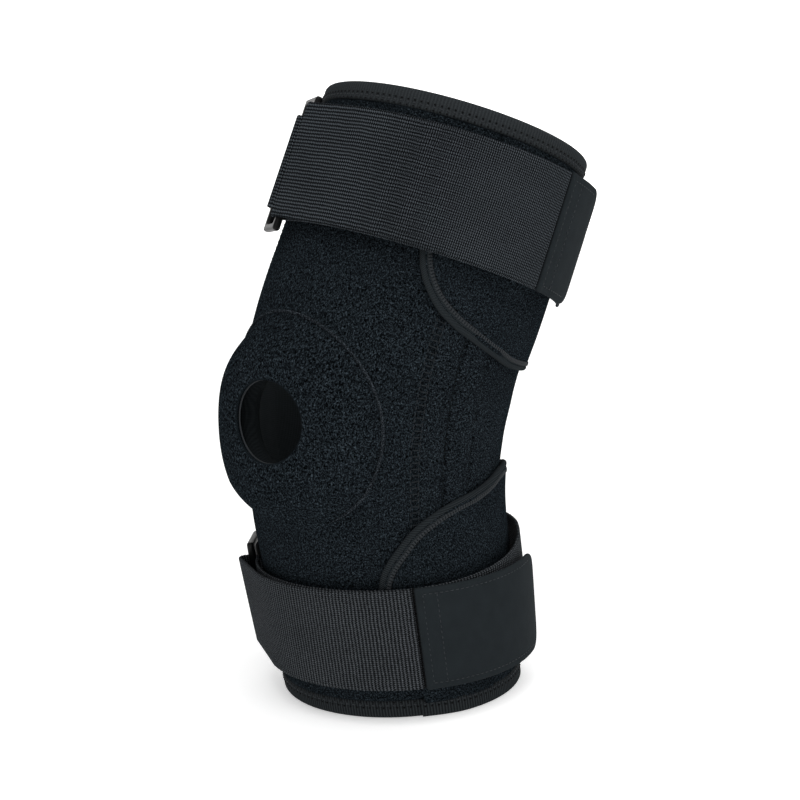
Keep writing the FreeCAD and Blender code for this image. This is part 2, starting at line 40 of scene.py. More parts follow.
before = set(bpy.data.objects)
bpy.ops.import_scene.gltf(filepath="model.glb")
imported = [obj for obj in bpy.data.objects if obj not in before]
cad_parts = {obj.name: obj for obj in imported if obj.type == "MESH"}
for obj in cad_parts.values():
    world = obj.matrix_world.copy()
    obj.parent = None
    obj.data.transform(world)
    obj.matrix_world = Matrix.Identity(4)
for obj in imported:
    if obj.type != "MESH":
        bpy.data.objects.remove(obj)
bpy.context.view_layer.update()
MM = 0.001
random = np.random.default_rng(7)

# ---------------------------------------------------------------- leg form
BEND_START, BEND_LENGTH, BEND = 112.0, 76.0, math.radians(23.3)
BEND_RADIUS = BEND_LENGTH / BEND
HEADING = math.radians(18.7)
LEAN = np.array([math.sin(HEADING), math.cos(HEADING), 0.0])
BEND_AXIS = np.array([-math.cos(HEADING), math.sin(HEADING), 0.0])
STATION_ARC = [0.0, 30.0, 60.0, 95.0, 125.0, 150.0, 187.0, 235.0, 276.0]
STATION_RADIUS = [57.0, 57.6, 58.5, 59.5, 62.5, 64.3, 64.5, 64.6, 65.2]
STATION_SET_BACK = [0.0, -4.0, -7.5, -11.8, -11.5, -10.2, -6.3, -2.6, -1.2]
TOP_RIM, RIM_TAPE = 276.0, 9.0
FRONT_EDGE, SIDE_EDGE, SLEEVE_REAR = 55.8, 56.2, 135.0
SLEEVE_THICK, SIDE_THICK = 3.5, 2.2
WING_END = 224.6

UPPER_WING_LOWER = [
    (224.6, 182.0), (190.0, 182.0), (160.0, 180.0), (130.0, 170.0), (100.0, 168.0),
    (84.6, 171.6), (70.1, 176.3), (60.5, 180.0), (50.8, 186.0), (43.0, 195.5),
    (38.5, 207.0),
]
UPPER_WING_FRONT = [(37.0, 220.0), (37.5, 238.0), (42.0, 250.0)]
UPPER_WING_UPPER = [(52.0, 257.0), (70.0, 258.5), (120.0, 258.5), (170.0, 258.5), (224.6, 258.5)]
LOWER_WING_UPPER = [
    (224.6, 99.0), (190.0, 99.0), (160.0, 101.0), (130.0, 109.0), (110.0, 111.0),
    (97.0, 108.0), (87.0, 105.6), (74.7, 103.3), (64.2, 99.3), (54.3, 93.0),
    (47.5, 85.6), (40.1, 75.9), (36.3, 66.2),
]
LOWER_WING_FRONT = [(35.0, 54.0), (37.5, 38.0), (43.5, 22.0), (48.4, 9.4)]

DOME_ANGLE, DOME_ARC, DOME_HALF_ANGLE, DOME_HALF_ARC, DOME_HEIGHT = -6.0, 132.0, 48.0, 40.0, 11.5
HOLE_ARC, HOLE_MEDIAL, HOLE_HALF_WIDTH, HOLE_HALF_HEIGHT = 135.6, 4.6, 21.5, 19.3


def smooth_curve(knots, values):
    """Cubic through the knots, with slopes that never overshoot a level stretch."""
    knots, values = np.asarray(knots, float), np.asarray(values, float)
    steps = np.diff(knots)
    rises = np.diff(values) / steps
    product, total = rises[:-1] * rises[1:], rises[:-1] + rises[1:]
    middle = np.where(product > 0, 2 * product / np.where(total == 0, 1.0, total), 0.0)
    slopes = np.concatenate([rises[:1], middle, rises[-1:]])

    def curve(at):
        at = np.clip(np.asarray(at, float), knots[0], knots[-1])
        index = np.clip(np.searchsorted(knots, at) - 1, 0, len(steps) - 1)
        step, low, high = steps[index], values[index], values[index + 1]
        u = (at - knots[index]) / step
        cubic = low * (1 + 2 * u) * (1 - u) ** 2 + high * u * u * (3 - 2 * u)
        return cubic + step * (slopes[index] * u * (1 - u) ** 2 - slopes[index + 1] * u * u * (1 - u))

    return curve


leg_radius = smooth_curve(STATION_ARC, STATION_RADIUS)
leg_set_back = smooth_curve(STATION_ARC, STATION_SET_BACK)


def smoothstep(value, low, high):
    u = np.clip((np.asarray(value, float) - low) / (high - low), 0.0, 1.0)
    return u * u * (3.0 - 2.0 * u)


def turned(vectors, tilt):
    """Vectors turned about the bend axis by the tilt of their sections."""
    cos, sin = np.cos(tilt)[..., None], np.sin(tilt)[..., None]
    along = (vectors @ BEND_AXIS)[..., None] * BEND_AXIS
    turned = np.cross(np.broadcast_to(BEND_AXIS, vectors.shape), vectors)
    return vectors * cos + turned * sin + along * (1 - cos)


def leg_line(arc):
    """Centre of the leg and its tilt at an arc length."""
    arc = np.asarray(arc, float)
    tilt = np.clip(arc - BEND_START, 0.0, BEND_LENGTH) / BEND_RADIUS
    straight = np.maximum(arc - BEND_START - BEND_LENGTH, 0.0)
    sideways = BEND_RADIUS * (1 - np.cos(tilt)) + straight * math.sin(BEND)
    height = np.minimum(arc, BEND_START) + BEND_RADIUS * np.sin(tilt) + straight * math.cos(BEND)
    centre = sideways[..., None] * LEAN
    centre = centre + np.stack([np.zeros_like(arc), leg_set_back(arc), height], -1)
    return centre, tilt


def outward(degrees):
    angle = np.radians(np.asarray(degrees, float))
    return np.stack([np.sin(angle), -np.cos(angle), np.zeros_like(angle)], -1)


def skin(degrees, arc, lift):
    """Points at angles, arc lengths and lifts from the sleeve's outer face."""
    degrees, arc, lift = np.broadcast_arrays(
        np.asarray(degrees, float), np.asarray(arc, float), np.asarray(lift, float)
    )
    centre, tilt = leg_line(arc)
    return centre + turned(outward(degrees), tilt) * (leg_radius(arc) + lift)[..., None]


def dome_share(degrees, arc):
    """Distance from the middle of the kneecap bump as a share of its half size."""
    across = (np.asarray(degrees, float) - DOME_ANGLE) / DOME_HALF_ANGLE
    along = (np.asarray(arc, float) - DOME_ARC) / DOME_HALF_ARC
    return np.hypot(across, along)


def dome(degrees, arc):
    return DOME_HEIGHT * (1.0 - smoothstep(dome_share(degrees, arc), 0.63, 1.08))


def wing_lift(degrees, arc):
    """Lift of the surface that a rear wing lies on."""
    return dome(degrees, arc) - 2.6 * smoothstep(degrees, 137.0, 162.0)


# ---------------------------------------------------------------- meshes
def new_object(name, points, faces, corners_uv, materials, face_material=None):
    """Mesh object from points in mm, faces and one (u, v) in mm for each face corner."""
    mesh = bpy.data.meshes.new(name)
    mesh.from_pydata((np.asarray(points, float) * MM).tolist(), [], faces)
    layer = mesh.uv_layers.new(name="cloth")
    layer.data.foreach_set("uv", np.asarray(corners_uv, np.float32).ravel())
    for material in materials:
        mesh.materials.append(material)
    if face_material is not None:
        mesh.polygons.foreach_set("material_index", np.asarray(face_material, np.int32))
    work = bmesh.new()
    work.from_mesh(mesh)
    bmesh.ops.recalc_face_normals(work, faces=work.faces)
    work.to_mesh(mesh)
    work.free()
    mesh.polygons.foreach_set("use_smooth", [True] * len(mesh.polygons))
    mesh.update()
    thing = bpy.data.objects.new(name, mesh)
    bpy.context.scene.collection.objects.link(thing)
    return thing


def quads_between(first, second, closed):
    """Corner numbers of the strip of faces between two rows of points."""
    after_first, after_second = np.roll(first, -1), np.roll(second, -1)
    strip = np.stack([first, second, after_second, after_first], -1)
    return strip if closed else strip[:-1]


def slab(name, outside, inside, uv, materials, around=False, rows=4):
    """Cloth between two grids of points, with a rounded border.

    The grids run (along, across); around closes them along. The second material is
    on the inner face.
    """
    n, m = outside.shape[:2]
    index = np.arange(n * m).reshape(n, m)
    if around:
        borders = [index[:, 0], index[::-1, m - 1]]
        neighbours = [index[:, 1], index[::-1, m - 2]]
    else:
        path = np.concatenate([index[:, 0], index[-1, 1:], index[-2::-1, -1], index[0, -2:0:-1]])
        within = np.concatenate([
            index[:, 1], index[-2, 1:], index[-2::-1, -2], index[1, -2:0:-1],
        ])
        borders, neighbours = [path], [within]
    flat_out, flat_in = outside.reshape(-1, 3), inside.reshape(-1, 3)
    points = [flat_out, flat_in]
    flat_uv = uv.reshape(-1, 2)
    point_uv = [flat_uv, flat_uv]
    faces = []
    for offset in (0, n * m):
        for i in range(n if around else n - 1):
            faces.append(quads_between(index[i] + offset, index[(i + 1) % n] + offset, False))
    on_inside = [np.zeros(len(f), int) for f in faces[: len(faces) // 2]]
    on_inside += [np.ones(len(f), int) for f in faces[len(faces) // 2:]]
    total = 2 * n * m
    for path, within in zip(borders, neighbours):
        middle = (flat_out[path] + flat_in[path]) / 2
        away = middle - (flat_out[within] + flat_in[within]) / 2
        away /= np.maximum(np.linalg.norm(away, axis=1, keepdims=True), 1e-9)
        half = np.linalg.norm(flat_out[path] - flat_in[path], axis=1, keepdims=True) / 2
        uv_away = flat_uv[path] - flat_uv[within]
        uv_away /= np.maximum(np.linalg.norm(uv_away, axis=1, keepdims=True), 1e-9)
        row_numbers = [path]
        for k in range(1, rows):
            turn = math.pi * k / rows
            row = middle + (flat_out[path] - middle) * math.cos(turn) + away * half * 0.8 * math.sin(turn)
            points.append(row)
            point_uv.append(flat_uv[path] + uv_away * half / MM * turn)
            row_numbers.append(np.arange(total, total + len(path)))
            total += len(path)
        row_numbers.append(path + n * m)
        for first, second in zip(row_numbers, row_numbers[1:]):
            strip = quads_between(first, second, True)
            faces.append(strip)
            on_inside.append(np.zeros(len(strip), int))
    faces = np.concatenate(faces)
    points, point_uv = np.concatenate(points), np.concatenate(point_uv)
    material_index = np.concatenate(on_inside) if len(materials) > 1 else None
    return new_object(
        name, points, faces.tolist(), point_uv[faces.ravel()], materials, material_index
    )


def swept(name, loops, along, around, materials, closed=False, caps=True):
    """Skin over closed section loops (n, m, 3), with u along the path and v round it."""
    n, m = loops.shape[:2]
    index = np.arange(n * m).reshape(n, m)
    rows = n if closed else n - 1
    first = index[:rows]
    second = np.roll(index, -1, axis=0)[:rows]
    faces = np.stack([first, second, np.roll(second, -1, 1), np.roll(first, -1, 1)], -1)
    u_low = np.asarray(along[:-1] if not closed else along[:n])[:, None]
    u_high = np.asarray(along[1:] if not closed else along[1:n + 1])[:, None]
    v_low, v_high = np.asarray(around[:-1])[None, :], np.asarray(around[1:])[None, :]
    shape = (rows, m)
    corners = np.stack([
        np.stack([np.broadcast_to(u_low, shape), np.broadcast_to(v_low, shape)], -1),
        np.stack([np.broadcast_to(u_high, shape), np.broadcast_to(v_low, shape)], -1),
        np.stack([np.broadcast_to(u_high, shape), np.broadcast_to(v_high, shape)], -1),
        np.stack([np.broadcast_to(u_low, shape), np.broadcast_to(v_high, shape)], -1),
    ], 2)
    face_list = faces.reshape(-1, 4).tolist()
    uv = corners.reshape(-1, 2)
    if caps and not closed:
        face_list += [index[0, ::-1].tolist(), index[-1].tolist()]
        uv = np.concatenate([uv, np.zeros((2 * m, 2))])
    return new_object(name, loops.reshape(-1, 3), face_list, uv, materials)


def running_length(points):
    steps = np.linalg.norm(np.diff(points, axis=0), axis=1)
    return np.concatenate([[0.0], np.cumsum(steps)])


def threads(name, middles, tangents, normals, length, radius, material, rise=0.0, sides=6):
    """Sewing thread seen as short stitches that dive into the cloth at both ends."""
    middles, tangents, normals = (np.asarray(a, float) for a in (middles, tangents, normals))
    tangents = tangents / np.linalg.norm(tangents, axis=1, keepdims=True)
    normals = normals - (normals * tangents).sum(1, keepdims=True) * tangents
    normals = normals / np.linalg.norm(normals, axis=1, keepdims=True)
    across = np.cross(tangents, normals)
    count, rings = len(middles), 5
    steps = np.linspace(-1.0, 1.0, rings)
    angle = np.arange(sides) * 2 * math.pi / sides
    points = np.empty((count, rings, sides, 3))
    for k, step in enumerate(steps):
        width = radius * (1.0 - 0.55 * step ** 4)
        centre = middles + tangents * (length / 2 * step) + normals * (rise - radius * 1.5 * step ** 4)
        for s in range(sides):
            sideways = across * (width * math.cos(angle[s]))
            points[:, k, s] = centre + sideways + normals * (width * math.sin(angle[s]))
    index = np.arange(count * rings * sides).reshape(count, rings, sides)
    faces = np.stack([
        index[:, :-1], index[:, 1:], np.roll(index[:, 1:], -1, 2), np.roll(index[:, :-1], -1, 2)
    ], -1).reshape(-1, 4).tolist()
    faces += index[:, 0, ::-1].tolist() + index[:, -1].tolist()
    corners = sum(len(f) for f in faces)
    uv = np.zeros((corners, 2))
    return new_object(name, points.reshape(-1, 3), faces, uv, [material])


def on_skin(degrees, arc, lift):
    """Points of a path on the cloth and the normals there."""
    here = skin(degrees, arc, lift)
    above = skin(degrees, arc, np.asarray(lift) + 1.0)
    return here, above - here


def spaced(path, pitch):
    """Evenly spaced places along a path: index weights as a function of the length."""
    length = running_length(path)
    count = max(int(length[-1] / pitch), 2)
    return (np.arange(count) + 0.5) * length[-1] / count, length


def stitch_row(name, degrees, arc, lift, pitch, stitch, radius, material, slant=0.0, rise=0.0):
    """Stitches along a path given by its angles, arc lengths and lifts."""
    points, normals = on_skin(degrees, arc, lift)
    at, length = spaced(points, pitch)
    middles = np.stack([np.interp(at, length, points[:, k]) for k in range(3)], -1)
    upright = np.stack([np.interp(at, length, normals[:, k]) for k in range(3)], -1)
    ahead = np.stack([np.interp(at + 0.5, length, points[:, k]) for k in range(3)], -1)
    behind = np.stack([np.interp(at - 0.5, length, points[:, k]) for k in range(3)], -1)
    tangents = ahead - behind
    tangents /= np.linalg.norm(tangents, axis=1, keepdims=True)
    upright /= np.linalg.norm(upright, axis=1, keepdims=True)
    side = np.cross(upright, tangents)
    tangents = tangents * math.cos(slant) + side * math.sin(slant)
    return threads(name, middles, tangents, upright, stitch, radius, material, rise)


def joined(name, parts):
    """One object from several that share their finish."""
    bpy.ops.object.select_all(action="DESELECT")
    for part in parts:
        part.select_set(True)
    bpy.context.view_layer.objects.active = parts[0]
    bpy.ops.object.join()
    parts[0].name = name
    parts[0].data.name = name
    return parts[0]


# ---------------------------------------------------------------- materials
class Shader:
    """A material that is built node by node."""

    def __init__(self, name, colour, roughness, specular=0.25, sheen=0.0, sheen_roughness=0.5):
        self.material = bpy.data.materials.new(name)
        self.material.use_nodes = True
        self.tree = self.material.node_tree
        self.surface = self.tree.nodes["Principled BSDF"]
        self.surface.inputs["Base Color"].default_value = (*colour, 1.0)
        self.surface.inputs["Roughness"].default_value = roughness
        self.surface.inputs["Specular IOR Level"].default_value = specular
        self.surface.inputs["Sheen Weight"].default_value = sheen
        self.surface.inputs["Sheen Roughness"].default_value = sheen_roughness
        self.colour = colour
        place = self.node("ShaderNodeUVMap")
        place.uv_map = "cloth"
        self.place = place.outputs["UV"]
        split = self.node("ShaderNodeSeparateXYZ")
        self.link(self.place, split.inputs[0])
        self.u, self.v = split.outputs["X"], split.outputs["Y"]

    def node(self, kind, **settings):
        made = self.tree.nodes.new(kind)
        for key, value in settings.items():
            setattr(made, key, value)
        return made

    def link(self, output, socket):
        self.tree.links.new(output, socket)

    def math(self, operation, first, second=None, third=None):
        node = self.node("ShaderNodeMath", operation=operation)
        for slot, value in enumerate((first, second, third)):
            if value is None:
                continue
            if isinstance(value, (int, float)):
                node.inputs[slot].default_value = value
            else:
                self.link(value, node.inputs[slot])
        return node.outputs[0]

    def noise(self, size_u, size_v, detail=2.0, roughness=0.55, distortion=0.0, offset=0.0):
        """Noise from 0 to 1 with grains of about that many mm along u and v."""
        mapping = self.node("ShaderNodeMapping")
        mapping.inputs["Scale"].default_value = (1.0 / size_u, 1.0 / size_v, 1.0)
        mapping.inputs["Location"].default_value = (offset, offset * 1.7, 0.0)
        self.link(self.place, mapping.inputs["Vector"])
        noise = self.node("ShaderNodeTexNoise")
        noise.inputs["Scale"].default_value = 1.0
        noise.inputs["Detail"].default_value = detail
        noise.inputs["Roughness"].default_value = roughness
        noise.inputs["Distortion"].default_value = distortion
        self.link(mapping.outputs["Vector"], noise.inputs["Vector"])
        return noise.outputs["Fac"]

    def ramp(self, value, low, high, to_low=0.0, to_high=1.0):
        node = self.node("ShaderNodeMapRange", clamp=True)
        node.inputs["From Min"].default_value = low
        node.inputs["From Max"].default_value = high
        node.inputs["To Min"].default_value = to_low
        node.inputs["To Max"].default_value = to_high
        self.link(value, node.inputs["Value"])
        return node.outputs["Result"]

    def wave(self, value, pitch, phase=0.0):
        """Cosine of a length, from 0 in the grooves to 1 on the ridges."""
        turns = self.math("MULTIPLY_ADD", value, 2 * math.pi / pitch, phase)
        return self.math("MULTIPLY_ADD", self.math("COSINE", turns), 0.5, 0.5)

    def shade(self, factor):
        """Multiply the base colour by a factor."""
        mix = self.node("ShaderNodeMix", data_type="RGBA", blend_type="MULTIPLY")
        mix.inputs["Factor"].default_value = 1.0
        mix.inputs["A"].default_value = (*self.colour, 1.0)
        combine = self.node("ShaderNodeCombineColor")
        for channel in ("Red", "Green", "Blue"):
            self.link(factor, combine.inputs[channel])
        self.link(combine.outputs["Color"], mix.inputs["B"])
        self.link(mix.outputs["Result"], self.surface.inputs["Base Color"])

    def bump(self, height, distance_mm, strength=1.0):
        node = self.node("ShaderNodeBump")
        node.inputs["Strength"].default_value = strength
        node.inputs["Distance"].default_value = distance_mm * MM
        self.link(height, node.inputs["Height"])
        self.link(node.outputs["Normal"], self.surface.inputs["Normal"])


def velour(name, colour, grain=1.0):
    """Brushed nylon face of neoprene: short curled fuzz in worm-like specks, partly the nap's own grain and
    partly painted sheen on the fibre tips.
    """
    shader = Shader(name, colour, 0.95, specular=0.0)
    fine = shader.noise(0.5 * grain, 0.62 * grain, detail=1.5, roughness=0.6, distortion=0.9)
    clumps = shader.noise(0.95 * grain, 1.3 * grain, detail=2.0, roughness=0.6, distortion=0.5, offset=7.0)
    cloudy = shader.noise(26.0, 30.0, detail=2.0, offset=3.0)
    fuzz = shader.math("MULTIPLY_ADD", fine, 0.68, shader.math("MULTIPLY", clumps, 0.32))
    # Specks lighter where the fuzz stands high: partly the nap's grain, partly painted sheen on the fibre
    # tips.
    nap_grain_and_sheen = shader.math("POWER", shader.ramp(fuzz, 0.36, 0.70), 2.2)
    nap_grain_and_sheen = shader.math("MULTIPLY_ADD", nap_grain_and_sheen, 5.2, 0.02)
    wide = shader.ramp(cloudy, 0.3, 0.7, 0.9, 1.1)
    shader.shade(shader.math("MULTIPLY", nap_grain_and_sheen, wide))
    shader.bump(fuzz, 0.7, 0.8)
    return shader.material


def webbing(name, colour, long_rib, cross_rib, pick, turn_start, turn_end, plain=0.0):
    """Woven elastic: ribs of knotted yarn with gaps between them, painted dark as shade.

    The ribs run along the strap up to turn_start, and across it past turn_end, where
    the elastic is stretched less; pick is the pitch of the knots along a rib, and plain
    the share of the ribs that is left out.
    """
    shader = Shader(name, colour, 0.9, specular=0.01)
    drift = shader.math("MULTIPLY_ADD", shader.noise(9.0, 9.0, detail=2.0), 0.9, -0.45)
    u = shader.math("ADD", shader.u, drift)
    v = shader.math("ADD", shader.v, drift)

    def ribbed(across, along, rib):
        row = shader.math("FLOOR", shader.math("MULTIPLY_ADD", across, 1.0 / rib, 0.5))
        brick = shader.math("MULTIPLY", shader.math("MODULO", row, 2.0), math.pi)
        slope = shader.math("MULTIPLY_ADD", across, math.pi / rib, brick)
        turns = shader.math("MULTIPLY_ADD", along, 2 * math.pi / pick, slope)
        knots = shader.math("MULTIPLY_ADD", shader.math("COSINE", turns), 0.5, 0.5)
        gap = shader.math("SUBTRACT", 1.0, shader.wave(across, rib))
        sunk = shader.math("MULTIPLY", gap, shader.math("MULTIPLY_ADD", knots, 0.7, 0.45))
        return shader.math("SUBTRACT", 1.0, shader.math("MULTIPLY_ADD", knots, 0.4, sunk))

    lengthwise = ribbed(v, u, long_rib)
    crosswise = ribbed(u, v, cross_rib)
    share = shader.ramp(shader.u, turn_start, turn_end)
    kept = shader.math("MULTIPLY", lengthwise, shader.math("SUBTRACT", 1.0, share))
    ribs = shader.math("MULTIPLY_ADD", crosswise, share, kept)
    yarn = shader.noise(0.7, 0.7, detail=2.0, roughness=0.75, distortion=0.6)
    grain = shader.math("MULTIPLY", yarn, 0.4 + plain * 0.6)
    height = shader.math("MULTIPLY_ADD", ribs, 0.6 * (1.0 - plain), grain)
    wear = shader.noise(32.0, 18.0, detail=3.0, offset=11.0)
    # The colour follows the weave's height: painted shade in the gaps between ribs and knots, lighter on the
    # raised yarn.
    tone = shader.math("POWER", shader.ramp(height, 0.20, 0.74), 2.0)
    tone = shader.math("MULTIPLY_ADD", tone, 3.9, 0.02)
    shader.shade(shader.math("MULTIPLY", tone, shader.ramp(wear, 0.3, 0.7, 0.92, 1.08)))
    shader.bump(height, 0.6, 0.9)
    return shader.material


def knit_tape(name, colour, slope, pitch, depth=0.5):
    """Stretch tape: fine ribs that cross it at a slope."""
    shader = Shader(name, colour, 0.9, specular=0.01)
    slanted = shader.math("MULTIPLY_ADD", shader.v, slope, shader.u)
    ribs = shader.wave(slanted, pitch)
    yarn = shader.noise(0.4, 0.5, detail=2.0, roughness=0.65)
    height = shader.math("MULTIPLY_ADD", ribs, depth, shader.math("MULTIPLY", yarn, 1.0 - depth))
    # The colour follows the rib height: painted shade in the grooves, lighter on the ribs.
    shader.shade(shader.ramp(height, 0.2, 0.8, 0.4, 1.7))
    shader.bump(height, 0.35, 0.8)
    return shader.material


def smooth_fabric(name, colour):
    """Hook tab backing: tight matte cloth with a faint grain."""
    shader = Shader(name, colour, 0.85, specular=0.03)
    grain = shader.noise(0.35, 0.35, detail=2.0, roughness=0.6)
    cloudy = shader.noise(7.0, 9.0, detail=4.0, roughness=0.6, offset=5.0)
    speckle = shader.ramp(grain, 0.3, 0.7, 0.86, 1.14)
    tone = shader.math("MULTIPLY", speckle, shader.ramp(cloudy, 0.3, 0.7, 0.92, 1.09))
    shader.shade(tone)
    shader.bump(grain, 0.08, 0.6)
    return shader.material


def thread_yarn(name, colour):
    """Twisted polyester thread."""
    shader = Shader(name, colour, 0.65, specular=0.12)
    shader.shade(shader.ramp(shader.noise(0.3, 0.3), 0.3, 0.7, 0.8, 1.2))
    return shader.material


def jersey(name, colour):
    """Thin knitted lining with fine upright wales."""
    shader = Shader(name, colour, 0.85, specular=0.04, sheen=0.01)
    wales = shader.wave(shader.u, 1.1)
    courses = shader.wave(shader.v, 0.9)
    height = shader.math("MULTIPLY_ADD", wales, 0.55, shader.math("MULTIPLY", courses, 0.25))
    height = shader.math("ADD", height, shader.math("MULTIPLY", shader.noise(0.5, 0.5), 0.2))
    # The colour follows the wale height: painted shade between the wales, lighter on them.
    shader.shade(shader.ramp(height, 0.1, 0.9, 0.7, 1.25))
    shader.bump(height, 0.2, 0.6)
    return shader.material


def moulded_plastic(name, colour):
    """Glossy black moulded plastic with a trace of moulding texture."""
    material = bpy.data.materials.new(name)
    material.use_nodes = True
    tree = material.node_tree
    surface = tree.nodes["Principled BSDF"]
    surface.inputs["Base Color"].default_value = (*colour, 1.0)
    surface.inputs["Specular IOR Level"].default_value = 0.16
    place = tree.nodes.new("ShaderNodeTexCoord")
    noise = tree.nodes.new("ShaderNodeTexNoise")
    noise.inputs["Scale"].default_value = 900.0
    spread = tree.nodes.new("ShaderNodeMapRange")
    spread.inputs["To Min"].default_value = 0.3
    spread.inputs["To Max"].default_value = 0.36
    bump = tree.nodes.new("ShaderNodeBump")
    bump.inputs["Distance"].default_value = 0.05 * MM
    tree.links.new(place.outputs["Object"], noise.inputs["Vector"])
    tree.links.new(noise.outputs["Fac"], spread.inputs["Value"])
    tree.links.new(spread.outputs["Result"], surface.inputs["Roughness"])
    tree.links.new(noise.outputs["Fac"], bump.inputs["Height"])
    tree.links.new(bump.outputs["Normal"], surface.inputs["Normal"])
    return material


def steel(name):
    """Spring steel wire of the stays."""
    shader = Shader(name, (0.42, 0.42, 0.43), 0.35, specular=0.5)
    shader.surface.inputs["Metallic"].default_value = 1.0
    shader.shade(shader.ramp(shader.noise(1.0, 0.2), 0.3, 0.7, 0.8, 1.1))
    return shader.material


FRONT_VELOUR = velour("front_velour", (0.0112, 0.0150, 0.0182))
SIDE_VELOUR = velour("side_velour", (0.0118, 0.0156, 0.0188), 0.95)
WING_VELOUR = velour("wing_velour", (0.0112, 0.0150, 0.0182), 0.9)
# Lighter than the front velour: a painted highlight along the kneecap welt's ridge.
WELT_PAINTED_HIGHLIGHT_VELOUR = velour("welt_velour_painted_highlight", (0.0215, 0.0262, 0.0310), 0.8)
LINING = jersey("lining_jersey", (0.0240, 0.0290, 0.0320))
RING_COVER = jersey("buttress_cover", (0.0110, 0.0135, 0.0150))
THIGH_WEBBING = webbing("thigh_webbing", (0.0195, 0.0226, 0.0256), 1.6, 1.05, 1.15, 240.0, 300.0)
CALF_WEBBING = webbing("calf_webbing", (0.0245, 0.0272, 0.0300), 1.1, 1.65, 1.0, -60.0, -20.0, 0.35)
TAB_FABRIC = smooth_fabric("hook_tab_fabric", (0.0160, 0.0200, 0.0225))
RIM_TAPE_KNIT = knit_tape("rim_tape_knit", (0.0260, 0.0295, 0.0320), 0.0, 1.5, 0.2)
BOTTOM_TAPE_KNIT = knit_tape("bottom_tape_knit", (0.0205, 0.0235, 0.0255), 0.0, 1.5, 0.5)
WING_TAPE_TWILL = knit_tape("wing_tape_twill", (0.0185, 0.0225, 0.0250), 0.9, 0.9, 0.45)
LOWER_TAPE_TWILL = knit_tape("lower_tape_twill", (0.0185, 0.0222, 0.0247), 1.1, 1.15, 0.75)
THREAD = thread_yarn("black_thread", (0.0330, 0.0370, 0.0410))
GREY_THREAD = thread_yarn("grey_seam_thread", (0.0165, 0.0205, 0.0240))
# Near-black seam thread; at the hook tabs it also paints the shadow in the gap between strap end and tab.
DARK_THREAD_AND_GAP_SHADOW = thread_yarn("seam_thread", (0.0010, 0.0015, 0.0018))
RING_PLASTIC = moulded_plastic("ring_plastic", (0.0035, 0.0038, 0.0042))
STAY_STEEL = steel("stay_steel")


def across_knee(piece):
    """A piece that spans the knee; its transform is baked into its mesh and it is attached to neither body.
    """
    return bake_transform(piece)


HOLE_REACH = float(leg_radius(HOLE_ARC)) + DOME_HEIGHT
FRONT_STRETCH = 1.0 + HOLE_REACH * math.cos(HEADING) / BEND_RADIUS


def hole_edge(turn, grow=0.0):
    """(angle, arc) of the kneecap opening's edge at a turn round it.

    The front is the long side of the bend, so an arc length there is a shorter step.
    """
    side = (HOLE_HALF_WIDTH + grow) * np.cos(turn) - HOLE_MEDIAL
    rise = (HOLE_HALF_HEIGHT + grow) * np.sin(turn) / FRONT_STRETCH
    return np.degrees(np.arcsin(side / HOLE_REACH)), HOLE_ARC + rise


def edge_dip(distance, depth, width):
    """Cloth pulled down beside a seam."""
    return -depth * np.exp(-(np.asarray(distance) / width) ** 2)


def front_levels(degrees, arc, from_hole):
    """Outer and inner lift of the front panel."""
    share = dome_share(degrees, arc)
    outer = dome(degrees, arc)
    outline = 0.75 * np.exp(-((share - 1.01) / 0.014) ** 2)
    step = 0.5 * (1.0 - smoothstep(share, 0.99, 1.03))
    rolled = -1.3 * np.clip(1.0 - from_hole / 5.5, 0.0, 1.0) ** 2
    seam = edge_dip((FRONT_EDGE - np.abs(degrees)) * 1.1, 0.75, 1.3)
    ripple = 0.25 * np.sin(degrees * 0.13 + arc * 0.021) * smoothstep(arc, 165.0, 190.0)
    inner = dome(degrees, arc) - SLEEVE_THICK + 1.2 * np.clip(1.0 - from_hole / 4.0, 0.0, 1.0)
    return outer + outline + step + rolled + seam + ripple, inner


